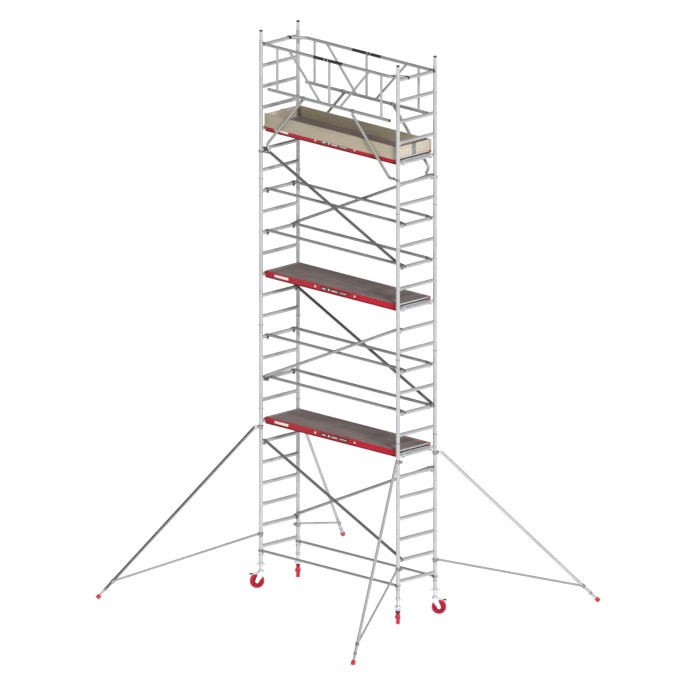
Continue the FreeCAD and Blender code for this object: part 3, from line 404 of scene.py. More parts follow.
# a darker copy of the red paint: painted shade along the side beams' bottom edge
shadeRedCoat = coated("painted_shade_red_coating", (0.17, 0.002, 0.006), (0.10, 0.001, 0.003), 0.45, 0.0, 60.0, 0.06,
                     None, 0.2)
crimson = coated("crimson_polymer", (0.52, 0.008, 0.040), (0.40, 0.005, 0.028), 0.42, 0.0, 180.0, 0.15, None,
                 0.3)
darkCrimson = coated("dark_crimson_polymer", (0.40, 0.008, 0.034), (0.29, 0.005, 0.022), 0.42, 0.0, 180.0,
                     0.15, None, 0.3)
redRubber = coated("red_rubber", (0.62, 0.035, 0.035), (0.46, 0.020, 0.022), 0.62, 0.0, 240.0, 0.3)
whiteCoat = coated("white_powder_coat", (0.80, 0.80, 0.81), (0.68, 0.68, 0.70), 0.36, 0.3, 300.0, 0.2,
                   (0.45, 0.45, 0.46))
labelWhite = coated("label_white", (0.84, 0.82, 0.80), (0.74, 0.72, 0.70), 0.4)
labelAndShadeBlack = coated("label_and_painted_shade_black", (0.025, 0.024, 0.028), (0.015, 0.015, 0.017), 0.4)
# the long boards' wood is a darker copy of the end boards' wood: painted shade for boards facing away from
# the light
shadedLongWood = wood("painted_shade_long_board_wood", (0.46, 0.395, 0.285), (0.36, 0.30, 0.21), "x")
endWood = wood("end_board_wood", (0.56, 0.495, 0.40), (0.45, 0.39, 0.30), "y")
plyFilm = filmPly("deck_film", (0.300, 0.235, 0.222), (0.200, 0.155, 0.146))
print("materials made")

# end frames
frameLook = {"flutes": 18, "fluteDepth": 0.0009, "runIn": 0.0006, "sides": 32, "rungSides": 72}


def copeRung(shell, x, reach, first):
    # both ends follow the post's side: half the width, less the root of the post's radius squared
    # less the offset squared, and a little run into the post
    for points in shell.points[first:]:
        ends = np.abs(points[:, 1]) > reach - 0.002
        saddle = np.sqrt(postRadius ** 2 - np.square(points[ends, 0] - x))
        points[ends, 1] = np.sign(points[ends, 1]) * (halfWidth - saddle + frameLook["runIn"])


def buildFrames():
    first = 0
    for number, count in enumerate(tower["rungs"], 1):
        for word, side in (("left", -1), ("right", 1)):
            x = side * halfBay
            posts, rungs = Shell(), Shell()
            bottom = rungZ(first) - tower["belowRung"] + tower["seam"]
            top = rungZ(first + count - 1) + tower["aboveRung"]
            for y in (-halfWidth, halfWidth):
                pipe(posts, [(x, y, bottom), (x, y, top)], postRadius, tower["postWall"], frameLook["sides"],
                     lip=0.0012)
            for index in range(first, first + count):
                z, reach = rungZ(index), halfWidth - postRadius + frameLook["runIn"]
                before = len(rungs.points)
                pipe(rungs, [(x, -reach, z), (x, reach, z)], tower["rungRadius"], 0.002,
                     frameLook["rungSides"], frameLook["flutes"], frameLook["fluteDepth"])
                copeRung(rungs, x, reach, before)
                for across in (-1, 1):
                    weld(posts, (x, across * halfWidth, z), (0, -across, 0), (0, 0, 1), tower["rungRadius"],
                         postRadius)
            node = "%s_frame_%d" % (word, number)
            posts.piece(node + "_posts", postMetal, "root", node, slot="frame_aluminium")
            rungs.piece(node + "_rungs", rungMetal, "root", node, slot="frame_aluminium", smooth=50)
        first += count


def frameSeats():  # the height of each frame's post foot, from the bottom up
    starts = np.cumsum((0,) + tower["rungs"][:-1])
    return [rungZ(int(s)) - tower["belowRung"] for s in starts]


def buildSpigotsAndClips():
    spigots, clips, caps = Shell(), Shell(), Shell()
    clip = {"below": 0.11, "wire": 0.0032, "pin": 0.0036, "wrap": 285, "head": 0.009}
    wireCentre = postRadius + 0.0003 + clip["wire"]
    seats = frameSeats()
    tops = seats[1:] + [rungZ(sum(tower["rungs"]) - 1) + tower["aboveRung"]]
    for side, across in corners.values():
        post = np.array([side * halfBay, across * halfWidth, 0.0])
        for seat in tops:
            rise = post + (0, 0, seat)
            pipe(spigots, [rise - (0, 0, 0.1), rise + (0, 0, tower["spigotOut"])], tower["spigotRadius"],
                 0.002, 32, lip=0.0015)
        r, end = tower["spigotRadius"], tops[-1] + tower["spigotOut"]
        turned(caps, [(end - 0.014, r - 0.0025), (end - 0.014, r + 0.0004), (end + 0.0006, r + 0.0004),
                      (end + 0.0014, r - 0.0015)], axes(post, (0, 0, 1), (0, 1, 0)), 28)
        for seat in seats:
            place = axes(post + (0, 0, seat + tower["belowRung"] - clip["below"]), (-side, 0, 0))
            wire = arc(wireCentre, 0, clip["wrap"], 40)
            wire = np.column_stack([wire, 0.004 * np.sin(np.linspace(0, math.pi, len(wire)))])
            bar(clips, put(wire, place), np.full(len(wire), clip["wire"]), 10)
            pin = [(0.0203, 0, 0), (wireCentre, 0, 0), (wireCentre + clip["head"], 0, 0)]
            bar(clips, put(np.array(pin), place), [clip["pin"], clip["pin"], clip["pin"] * 1.5], 14)
    spigots.piece("frame_spigot_tubes", zincMetal, "root", "frame_spigots", slot="spigot_aluminium")
    caps.piece("spigot_end_caps", blackPlastic, "root", slot="black_plastic")
    clips.piece("locking_clip_wires", darkSteel, "root", "locking_clips", slot="clip_steel")


buildFrames()
buildSpigotsAndClips()
print("end frames made")

# braces and their claws
brace = {"radius": 0.020, "lowRadius": 0.017, "wall": 0.002, "offset": 0.025, "reach": 0.05, "y": 0.24,
         "diagonalY": 0.29, "lowHeight": 0.50, "level": (8, 10, 15, 17),
         "front": ((5, 1), (8, 12), (19, 15)), "back": ((1, 5), (12, 8), (15, 19)), "ferrule": 0.0012,
         "ferruleLength": 0.022, "claw": 0.008, "clawWidth": 0.028, "neckWidth": 0.024}


def clawOn(claws, triggers, place):
    # the jaw over the rung, the neck with its two rivets, and the spring catch under it
    inner = tower["rungRadius"] + 0.0003
    outer = inner + brace["claw"]
    half, neckHalf = brace["clawWidth"] / 2, brace["neckWidth"] / 2
    slab(claws, ringOutline(inner, outer, -62, 181), -half, half, place, 0.0012)
    neck = [(0.0218, 0.0125), (0.033, 0.011), (0.0498, 0.011), (0.0498, 0.039), (0.006, 0.039),
            (-0.008, 0.0302), (0.006, 0.0265)]
    slab(claws, roundedOutline(neck, 0.004), -neckHalf, neckHalf, place, 0.0016)
    for x, z in ((0.041, 0.032), (0.041, 0.019)):
        for way in (-1, 1):
            head = axes(put([x, way * (neckHalf - 0.001), z], place), place[1][1] * way, place[1][2])
            turned(claws, [(0, 0.004), (0.0018, 0.0038), (0.0028, 0.0022), (0.0031, 0.0004)], head, 12)
    inside, bottom = outer + 0.0003, -0.038
    catch = [(inside + 0.005, 0.0107), (inside, 0.0107), (inside, -outer - 0.0005), (0.008, -outer - 0.0005),
             (0.004, bottom), (inside + 0.001, bottom), (inside + 0.009, -0.012), (inside + 0.005, 0.0)]
    slab(triggers, roundedOutline(catch, 0.002), -0.006, 0.006, place, 0.001)


def postClawOn(claws, triggers, place):
    inner = postRadius + 0.0003
    lying = (place[0], np.stack([place[1][0], place[1][2], place[1][1]]))
    slab(claws, ringOutline(inner, inner + brace["claw"], -150, 150, 32), -0.014, 0.014, lying, 0.0012)
    turned(claws, [(0.030, 0.013), (0.032, 0.0178), (0.046, 0.0178), (0.0498, 0.0165)], place, 24)
    catch = [(0.036, -0.0155), (0.048, -0.0155), (0.045, -0.031), (0.040, -0.033)]
    slab(triggers, roundedOutline(catch, 0.002), -0.006, 0.006, place, 0.001)


def ferrule(shell, end, direction, radius):
    place = axes(end, direction, (0, 1, 0))
    grow, length = brace["ferrule"], brace["ferruleLength"]
    rim = [(0, radius - 0.0004), (0, radius + grow), (length * 0.8, radius + grow),
           (length, radius + 0.0002), (length, radius - 0.0004)]
    turned(shell, rim, place, 28, closed=True)


def buildBraces():
    level, falling, rising, backRising, claws, triggers = (Shell() for _ in range(6))
    lines = [(y, k, k) for y in (-brace["y"], brace["y"]) for k in brace["level"]]
    lines += [(-brace["diagonalY"], a, b) for a, b in brace["front"]]
    lines += [(brace["diagonalY"], a, b) for a, b in brace["back"]]
    for y, left, right in lines:
        start, end = np.array([-halfBay, y, rungZ(left)]), np.array([halfBay, y, rungZ(right)])
        ahead = unit(end - start)
        up = np.array([-ahead[2], 0, ahead[0]])
        a = start + ahead * brace["reach"] + up * brace["offset"]
        b = end - ahead * brace["reach"] + up * brace["offset"]
        if left == right:
            shell = level
        elif left > right:
            shell = falling
        else:
            shell = rising if y < 0 else backRising
        pipe(shell, [a, b], brace["radius"], brace["wall"], 28)
        ferrule(shell, a, ahead, brace["radius"])
        ferrule(shell, b, -ahead, brace["radius"])
        clawOn(claws, triggers, axes(start, ahead, up))
        clawOn(claws, triggers, axes(end, -ahead, up))
    for y in (-halfWidth, halfWidth):
        reach = halfBay - brace["reach"]
        pipe(level, [(-reach, y, brace["lowHeight"]), (reach, y, brace["lowHeight"])], brace["lowRadius"],
             brace["wall"], 28)
        for side in (-1, 1):
            postClawOn(claws, triggers, axes((side * halfBay, y, brace["lowHeight"]), (-side, 0, 0)))
    level.piece("level_brace_tubes", braceMetal, "root", "horizontal_braces", slot="brace_aluminium")
    # falling braces take the shaded copy as painted shade, front rising ones the lighter rail metal as
    # painted light
    for shell, name, material in ((falling, "falling", shadedBrace), (rising, "rising", railMetal),
                                  (backRising, "back_rising", braceMetal)):
        shell.piece(name + "_brace_tubes", material, "root", "diagonal_braces", slot="brace_aluminium")
    claws.piece("claw_castings", castMetal, "root", "brace_claws", slot="claw_metal")
    triggers.piece("claw_catches", blackPlastic, "root", "claw_triggers", slot="black_plastic")


buildBraces()
print("braces made")

# platforms
deck = {"half": 1.21, "beamY": 0.305, "beamWide": 0.030, "beamLow": -0.030, "beamHigh": 0.060, "top": 0.058,
        "endBeam": 0.036, "inner": 0.2748, "webIn": 0.0055, "film": (0.0590, 0.06022), "hatchLow": 0.45,
        "hatchHigh": 1.08, "hatchHalf": 0.255, "hooksY": 0.245, "hookWide": 0.036, "hingeX": (0.52, 1.01),
        "hingeY": -0.262, "latchX": 0.74}

# on each side beam: white or black, middle, length, lower edge above the rung's axis, and height
blankLabels = ((True, -0.92, 0.25, 0.002, 0.034), (False, 0.055, 0.51, 0.002, 0.036),
               (True, -0.30, 0.03, 0.006, 0.026), (True, -0.14, 0.060, 0.010, 0.014),
               (True, -0.05, 0.030, 0.008, 0.022), (True, 0.05, 0.11, 0.010, 0.012),
               (True, 0.21, 0.13, 0.012, 0.008), (True, 0.42, 0.030, 0.008, 0.022))


def beamOutline(side):
    # the side beam's section as (y, z): lips at the top and bottom, and a web set back between them
    y, thick, lip = deck["beamY"], deck["beamWide"], deck["webIn"]
    z0, z1 = deck["beamLow"], deck["beamHigh"]
    points = [(y, z0), (y, z0 + 0.013), (y - lip, z0 + 0.017), (y - lip, z0 + 0.036),
              (y - lip + 0.0022, z0 + 0.039), (y - lip + 0.0022, z0 + 0.045), (y - lip, z0 + 0.048),
              (y - lip, z1 - 0.020), (y, z1 - 0.016), (y, z1), (y - thick, z1), (y - thick, z0)]
    return roundedOutline([(side * a, b) for a, b in points], 0.0012, 2)


def alongX(x, z=0.0):  # a place whose slabs run along +X, with an outline of (y, z)
    return (np.array([x, 0.0, z]), np.array([[0.0, 1, 0], [1, 0, 0], [0, 0, 1]]))


def buildSideBeams(z, part):
    # the red beams, a dark red band of painted shade along the bottom of each, and the deck film over their
    # tops
    for side in (-1, 1):
        slab(part["beams"], beamOutline(side), -deck["half"], deck["half"], alongX(0, z), 0.0008)
        near, far = sorted((side * (deck["beamY"] - deck["beamWide"]), side * (deck["beamY"] - 0.003)))
        box(part["decks"], (-deck["half"] + 0.003, near, z + deck["film"][0]),
            (deck["half"] - 0.003, far, z + deck["film"][1]), 0.0002)
        # a darker red strip over the bottom lip: painted shade under the beam
        near, far = sorted((side * (deck["beamY"] - 0.004), side * (deck["beamY"] + 0.0003)))
        under, over = deck["beamLow"] + 0.0008, deck["beamLow"] + 0.0125
        shadeBand = roundedOutline([(near, under), (far, under), (far, over), (near, over)], 0.0002)
        slab(part["shadeBands"], shadeBand, -deck["half"] + 0.001, deck["half"] - 0.001, alongX(0, z), 0.0002)


def buildCrossBeams(z, part):
    # end beams with a top lip, a groove below it darkened by a black strip of painted shade, and a rounded
    # foot, then beams under the deck
    inner = deck["inner"]
    for side in (-1, 1):
        face, back = deck["half"], deck["half"] - deck["endBeam"]
        points = [(face, 0.060), (back, 0.060), (back, -0.020), (face - 0.004, -0.020),
                  (face - 0.002, 0.018), (face - 0.012, 0.022), (face - 0.012, 0.040), (face, 0.044)]
        outline = roundedOutline([(side * x, z + h) for x, h in points], 0.0015, 2)
        slab(part["cross"], outline, -inner, inner, home, 0.0008)
        near, far = sorted((side * (back + 0.001), side * (face - 0.004)))
        box(part["decks"], (near, -inner, z + deck["film"][0]), (far, inner, z + deck["film"][1]), 0.0002)
        # a black strip in the groove: painted shade in the recess
        near, far = sorted((side * (face - 0.0135), side * (face - 0.011)))
        box(part["blacks"], (near, -inner + 0.004, z + 0.0215), (far, inner - 0.004, z + 0.0405), 0.0004)
    starts = list(np.linspace(-deck["half"], deck["hatchLow"], 5)[1:-1] - 0.02)
    starts += [deck["hatchLow"] - 0.026, deck["hatchHigh"] - 0.014]
    for x in starts:
        box(part["cross"], (x, -inner, z + 0.0137), (x + 0.04, inner, z + 0.0457), 0.0015)
    for a, b in ((-inner, -deck["hatchHalf"]), (deck["hatchHalf"], inner)):
        box(part["cross"], (deck["hatchLow"] + 0.002, a, z + 0.046),
            (deck["hatchHigh"] - 0.002, b, z + deck["top"]), 0.0008)


def buildDecks(z, part):
    # the two panels either side of the hatch, with a row of screws along each side
    inner, end = deck["inner"], deck["half"] - deck["endBeam"] - 0.001
    for a, b in ((-end, deck["hatchLow"]), (deck["hatchHigh"], end)):
        box(part["decks"], (a, -inner + 0.001, z + 0.046), (b, inner - 0.001, z + deck["top"]), 0.0012)
        for x in np.linspace(a + 0.03, b - 0.03, max(2, int((b - a) / 0.22))):
            for y in (-inner + 0.02, inner - 0.02):
                turned(part["screws"],
                       [(-0.001, 0.0045), (0.0004, 0.0043), (0.0009, 0.0025), (0.0004, 0.0012)],
                       axes((x, y, z + deck["top"]), (0, 0, 1), (1, 0, 0)), 10)


def buildHooks(z, part):
    # a hook over the rung at each corner, and the wind lock that closes under the rung
    for side, across in corners.values():
        place = axes((side * halfBay, across * deck["hooksY"], z), (side, 0, 0))
        half, r = deck["hookWide"] / 2, tower["rungRadius"] + 0.0003
        root = deck["half"] - halfBay + 0.0002
        outline = np.vstack([arc(r, -17, 180, 26), [(-r, -0.016), (root, -0.018), (root, 0.027)],
                             arc(r + 0.009, 120, -17, 18)])
        cast = part["redHooks" if side < 0 else "hooks"]
        slab(cast, outline, -half, half, place, 0.0012)
        outward = -half * across * side
        head = axes(put([-0.033, outward, 0.012], place), place[1][1] * outward, (0, 0, 1))
        turned(cast, [(0, 0.006), (0.003, 0.0055), (0.0036, 0.003)], head, 12)
        slab(part["locks"], ringOutline(r + 0.0004, r + 0.008, -100, -24, 12), -half / 2, half / 2, place,
             0.0008)


def buildHinges(z, part):
    for x in deck["hingeX"]:
        middle = np.array([x, deck["hingeY"], z + deck["top"] + 0.0043])
        bar(part["leaves"], [middle - (0.024, 0, 0), middle - (0.0122, 0, 0)], [0.002, 0.002], 10)
        bar(part["leaves"], [middle + (0.0122, 0, 0), middle + (0.024, 0, 0)], [0.002, 0.002], 10)
        bar(part["leaves"], [middle - (0.012, 0, 0), middle + (0.012, 0, 0)], [0.004, 0.004], 16)
        box(part["leaves"], (x - 0.012, deck["hingeY"] - 0.0105, middle[2] - 0.004),
            (x + 0.012, deck["hingeY"], middle[2] - 0.002), 0.0004)


def buildLabels(z, part):
    web = deck["beamY"] - deck["webIn"]
    for white, x, length, low, tall in blankLabels:
        out = 0.0030 if white and abs(x) < 0.25 else 0.0026  # the small white ones lie on the black one
        for way in (-1, 1):
            near, far = sorted((way * (web - 0.001), way * (web + out)))
            start = (-way * x - length / 2, near, z + low)
            box(part["whites" if white else "blacks"], start, (start[0] + length, far, z + low + tall),
                0.0002)


def buildHatch(number, index):
    z = rungZ(index)
    lid, trim, edging = Shell(), Shell(), Shell()
    x0, x1, reach = deck["hatchLow"] + 0.002, deck["hatchHigh"] - 0.002, deck["hatchHalf"] - 0.002
    top = z + deck["top"]
    box(lid, (x0 + 0.002, -reach + 0.002, z + 0.046), (x1 - 0.002, reach - 0.002, top), 0.001)
    for a, b in (((x0, -reach), (x1, -reach + 0.003)), ((x0, reach - 0.003), (x1, reach)),
                 ((x0, -reach), (x0 + 0.003, reach)), ((x1 - 0.003, -reach), (x1, reach))):
        box(edging, (*a, z + 0.046), (*b, top + 0.0006), 0.0006)
    for x in deck["hingeX"]:
        for way in (-1, 1):
            centre = x + way * 0.0182
            bar(trim, [(centre - 0.0056, deck["hingeY"], top + 0.0043),
                       (centre + 0.0056, deck["hingeY"], top + 0.0043)], [0.004, 0.004], 16)
            box(trim, (centre - 0.0056, deck["hingeY"], top + 0.0003),
                (centre + 0.0056, deck["hingeY"] + 0.032, top + 0.0023), 0.0005)
    ring = arc(0.012, 0, 360, 24, (deck["latchX"], reach - 0.029))[:-1]
    path = np.column_stack([ring, np.full(len(ring), top + 0.0022)])
    trim.grid(tubeGrid(path, np.full(len(path), 0.0022), 8, closed=True), wrapRows=True)
    box(trim, (deck["latchX"] - 0.035, reach - 0.046, top - 0.0005),
        (deck["latchX"] + 0.035, reach - 0.012, top + 0.0012), 0.0006)
    body = "hatch_lid_%d" % number
    lid.piece("hatch_%d_panel" % number, plyFilm, body, "hatch_%d" % number, slot="deck_plywood")
    edging.piece("hatch_%d_edging" % number, blackPlastic, body, "hatch_%d" % number, slot="black_plastic")
    trim.piece("hatch_%d_trim" % number, zincMetal, body, "hatch_%d" % number, slot="zinc_steel")


# each shell of the platforms: its piece's name, its material, the node it replaces and its slot
platformPieces = {
    "beams": ("side_beam_sections", redCoat, "platform_side_beams", "red_beam"),
    "cross": ("cross_beam_sections", beamMetal, "platform_cross_beams", "beam_aluminium"),
    "decks": ("deck_panels", plyFilm, "platform_decks", "deck_plywood"),
    "hooks": ("platform_hook_castings", beamMetal, "platform_hooks", "beam_aluminium"),
    "redHooks": ("platform_hook_castings_left", redCoat, "platform_hooks", "red_beam"),
    "shadeBands": ("side_beam_painted_shade", shadeRedCoat, None, "red_beam"),
    "locks": ("wind_lock_catches", darkSteel, "wind_locks", "clip_steel"),
    "screws": ("deck_screws", zincMetal, None, "zinc_steel"),
    "leaves": ("hinge_leaves", zincMetal, "hatch_hinges", "zinc_steel"),
    "whites": ("blank_white_labels", labelWhite, None, "beam_aluminium"),
    "blacks": ("blank_black_labels_and_groove_shade", labelAndShadeBlack, None, "black_plastic")}


def buildPlatforms():
    part = {key: Shell() for key in platformPieces}
    for number, index in enumerate(platformRungs, 1):
        for build in (buildSideBeams, buildCrossBeams, buildDecks, buildHooks, buildHinges, buildLabels):
            build(rungZ(index), part)
        buildHatch(number, index)
    for key, (name, material, node, slot) in platformPieces.items():
        part[key].piece(name, material, "root", *([node] if node else []), slot=slot)


buildPlatforms()
print("platforms made")

# toe boards
board = {"low": 6.2153, "tall": 0.145, "thick": 0.022, "outerY": 0.3082, "half": 1.222, "outerX": 1.207,
         "endHalf": 0.286, "lip": 0.003, "drop": 0.030, "clipWide": 0.070, "clip": 0.002, "gap": 0.0002,
         "leg": 0.040, "angleTall": 0.120}


def buildToeBoards():
    long, ends, plates, angles, rivets = (Shell() for _ in range(5))
    low, high = board["low"], board["low"] + board["tall"]
    innerX, innerY = board["outerX"] - board["thick"], board["outerY"] - board["thick"]
    for side in (-1, 1):
        near, far, lip = innerY, board["outerY"], board["outerY"] - board["lip"]
        outline = [(near, low), (lip, low), (lip, low - board["drop"]), (far, low - board["drop"]),
                   (far, high), (near, high)]
        outline = roundedOutline([(side * a, b) for a, b in outline], 0.0025)
        slab(long, outline, -board["half"], board["half"], alongX(0), 0.002)
        near, far = sorted((side * innerX, side * board["outerX"]))
        box(ends, (near, -board["endHalf"], low), (far, board["endHalf"], high), 0.003)
        t, g = board["clip"], board["gap"]
        a, b = side * innerX, side * (board["outerX"] + g)
        cover = [(a, high + g), (b, high + g), (b, low), (b + side * t, low), (b + side * t, high + g + t),
                 (a, high + g + t)]
        slab(plates, roundedOutline(cover, 0.0009, 2), -board["clipWide"] / 2, board["clipWide"] / 2, home,
             0.0004)
        for z in (low + 0.03, high - 0.03):
            for y in (-0.018, 0.018):
                turned(rivets, [(0, 0.005), (0.0012, 0.0045), (0.0018, 0.002)],
                       axes((b + side * t, y, z), (side, 0, 0)), 12)
        for across in (-1, 1):
            x, y = side * (innerX - g), across * (innerY - g)
            points = [(x, y), (x - side * board["leg"], y), (x - side * board["leg"], y - across * t),
                      (x - side * t, y - across * t), (x - side * t, y - across * board["leg"]),
                      (x, y - across * board["leg"])]
            upright = (np.zeros(3), np.array([[1.0, 0, 0], [0, 0, 1], [0, 1, 0]]))
            slab(angles, points, low, low + board["angleTall"], upright, 0.0003)
            for z in (low + 0.03, low + 0.09):
                turned(rivets, [(-0.0005, 0.0045), (0.0014, 0.0035), (0.0018, 0.0015)],
                       axes((x - side * 0.024, y - across * t, z), (0, -across, 0)), 10)
                turned(rivets, [(-0.0005, 0.0045), (0.0014, 0.0035), (0.0018, 0.0015)],
                       axes((x - side * t, y - across * 0.024, z), (-side, 0, 0)), 10)
    long.piece("long_toe_boards", shadedLongWood, "root", "toe_boards", slot="toe_board_wood")
    ends.piece("end_toe_boards", endWood, "root", "toe_boards", slot="toe_board_wood")
    plates.piece("toe_board_plates", darkSteel, "root", "toe_board_brackets", slot="zinc_steel")
    # the angles' dark colour is painted shade
    angles.piece("toe_board_corner_angles", shadeAngleSteel, "root", "toe_board_brackets", slot="zinc_steel")
    rivets.piece("toe_board_rivets", darkSteel, "root", slot="clip_steel")


# guardrails
rail = {"radius": 0.021, "post": 0.016, "wall": 0.002, "y": -0.307, "top": 7.287, "low": 6.695,
        "bend": 0.070, "upper": ((-1.205, -0.307), (1.060, -0.307), (1.200, -0.170)),
        "lower": (-1.147, 1.070), "posts": (-0.988, -0.035, 0.917),
        "slants": ((-0.762, -0.209), (0.690, 0.162)), "hook": 0.009, "hookWide": 0.024,
        "blanks": ((-0.310, -0.125), (-0.105, -0.065), (-0.045, 0.215))}
halfTurn = (np.zeros(3), np.diag([-1.0, -1.0, 1.0]))


def turnedHalf(place):  # the same place after half a turn about the tower's centre line
    return put(place[0], halfTurn), place[1] @ halfTurn[1]


def railHook(hooks, x, y, reach, back):
    # the jaw over the top rung and a block that takes the end of the rail
    place = axes((x, y, rungZ(sum(tower["rungs"]) - 1)), (-math.copysign(1, x), 0, 0))
    if back:
        place = turnedHalf(place)
    r, half = tower["rungRadius"] + 0.0003, rail["hookWide"] / 2
    slab(hooks, ringOutline(r, r + rail["hook"], -14, 194, 28), -half, half, place, 0.0012)
    neck = [(0.0242, -0.002), (reach, -0.004), (reach, 0.026), (0.014, 0.029), (0.016, 0.0262),
            (0.0222, 0.012)]
    slab(hooks, roundedOutline(neck, 0.003), -half + 0.001, half - 0.001, place, 0.0016)
    for way in (-1, 1):
        head = axes(put([reach * 0.72, way * (half - 0.0015), 0.012], place), place[1][1] * way, (0, 0, 1))
        turned(hooks, [(0, 0.0055), (0.0022, 0.0050), (0.0032, 0.0026)], head, 14)


def buildGuardrails():
    tubes, hooks, plugs, stripe = Shell(), Shell(), Shell(), Shell()
    y, top, low = rail["y"], rail["top"], rail["low"]
    for back in (False, True):
        place = halfTurn if back else home
        upper = bent([(x, run, top) for x, run in rail["upper"]], rail["bend"], 12)
        pipe(tubes, put(upper, place), rail["radius"], rail["wall"], 32)
        lower = np.array([(x, y, low) for x in rail["lower"]])
        pipe(tubes, put(lower, place), rail["radius"], rail["wall"], 32)
        inside = math.sqrt(rail["radius"] ** 2 - rail["post"] ** 2) - 0.001
        bars = [((x, y, top - inside), (x, y, low + inside)) for x in rail["posts"]]
        bars += [((a, y, top - inside), (b, y, low + inside)) for a, b in rail["slants"]]
        for a, b in bars:
            a, b = put([a, b], place)
            pipe(tubes, [a, b], rail["post"], rail["wall"], 24)
            for end, z, sign in ((a, top, -1), (b, low, 1)):
                centre = np.array([end[0], end[1], z])
                if abs(a[0] - b[0]) < 0.001:
                    weld(tubes, centre, (0, 0, sign), (1, 0, 0), rail["post"], rail["radius"], 0.0022)
        for x, way in zip(rail["lower"], (-1, 1)):
            plug = axes((x, y, low), (way, 0, 0))
            if back:
                plug = turnedHalf(plug)
            turned(plugs, [(-0.012, 0.0188), (0.0002, 0.0188), (0.0002, 0.0212), (0.003, 0.0212),
                           (0.0056, 0.017), (0.0060, 0.004)], plug, 28)
        railHook(hooks, -1.255, -0.296, 0.050, back)
        railHook(hooks, 1.255, -0.170, 0.0425, back)
        blank = axes((0, y, top), (1, 0, 0))
        if back:
            blank = turnedHalf(blank)
        skin = rail["radius"] + 0.0003
        for start, end in rail["blanks"]:
            turned(stripe, [(start, skin - 0.0005), (start, skin), (end, skin), (end, skin - 0.0005)], blank,
                   32, closed=True)
    tubes.piece("guardrail_tubes", railMetal, "root", "guardrail_frames", slot="rail_aluminium")
    plugs.piece("guardrail_plugs", blackPlastic, "root", slot="black_plastic")
    hooks.piece("guardrail_hook_castings", blackPlastic, "root", "guardrail_hooks", slot="black_plastic")
    stripe.piece("blank_rail_stripe", labelAndShadeBlack, "root", slot="black_plastic")


# guardrail struts
strut = {"radius": 0.019, "wall": 0.002, "y": -0.330, "bend": 0.040, "eyeIn": 0.0213, "eyeOut": 0.0273,
         "eyeWide": 0.034, "left": (-0.504, ((-0.504, 6.674), (-1.150, 5.966), (-1.100, 5.872)), -1.081,
                                    5.8557), "right": (0.395,
                                                       ((0.395, 6.674), (1.085, 5.938), (1.175, 5.938)),
                                                       1.1752, 5.938), "clipIn": 0.0257, "clipOut": 0.0317,
         "clipTall": 0.036, "armY": -0.3483, "armHalf": 0.008}


def buildStruts():
    for corner, kind, back in (("fl", "left", False), ("fr", "right", False), ("br", "left", True),
                               ("bl", "right", True)):
        tube, fittings = Shell(), Shell()
        eyeX, path, armX, clipZ = strut[kind]
        side = math.copysign(1, armX)
        place = halfTurn if back else home
        line = np.array([(x, strut["y"], z) for x, z in path])
        start = line[0] + unit(line[1] - line[0]) * 0.014
        pipe(tube, put(bent([start, line[1], line[2]], strut["bend"], 10), place), strut["radius"],
             strut["wall"], 24)
        half = strut["eyeWide"] / 2
        eye = axes((eyeX - half, rail["y"], rail["low"]), (1, 0, 0))
        pin = axes((side * halfBay, -halfWidth - strut["clipOut"] + 0.0015, clipZ), (0, -1, 0))
        if back:
            eye, pin = turnedHalf(eye), turnedHalf(pin)
        rim = [(0, strut["eyeIn"]), (0, strut["eyeOut"] - 0.001), (0.001, strut["eyeOut"]),
               (half * 2 - 0.001, strut["eyeOut"]), (half * 2, strut["eyeOut"] - 0.001),
               (half * 2, strut["eyeIn"])]
        turned(fittings, rim, eye, 32, closed=True)
        slab(fittings, ringOutline(strut["clipIn"], strut["clipOut"], -180, 0), 0, strut["clipTall"],
             clipFrame(side, clipZ, back), 0.001)
        near, far = sorted((armX, side * (halfBay - 0.001)))
        a = strut["armHalf"]
        box(fittings, (near, strut["armY"] - a, clipZ - a), (far, strut["armY"] + a, clipZ + a), 0.002,
            place)
        turned(fittings, [(0, 0.008), (0.006, 0.008), (0.008, 0.006), (0.014, 0.0055), (0.016, 0.003)], pin,
               16)
        body = "rail_strut_" + corner
        tube.piece("guardrail_strut_tube_" + corner, strutMetal, body, "guardrail_strut_" + corner,
                   slot="rail_aluminium")
        fittings.piece("guardrail_strut_fittings_" + corner, darkSteel, body, "guardrail_strut_" + corner,
                       slot="clip_steel")


def clipFrame(side, clipZ, back):
    # the half ring round the outside of a post: its outline lies level and is carried upwards
    place = (np.array([side * halfBay, -halfWidth, clipZ - strut["clipTall"] / 2]),
             np.array([[1.0, 0, 0], [0, 0, 1], [0, 1, 0]]))
    return turnedHalf(place) if back else place


buildToeBoards()
buildGuardrails()
buildStruts()
print("guard parts made")

# legs and casters
leg = {"radius": 0.019, "wall": 0.005, "low": 0.226, "top": 0.795, "collar": 0.0295, "pitch": 0.006,
       "thread": 0.0012, "nutLow": 0.309, "nutTall": 0.036, "nutRadius": 0.0325, "nutBore": 0.0193,
       "wing": 0.066, "wingHalf": 0.008, "wingTall": 0.020}


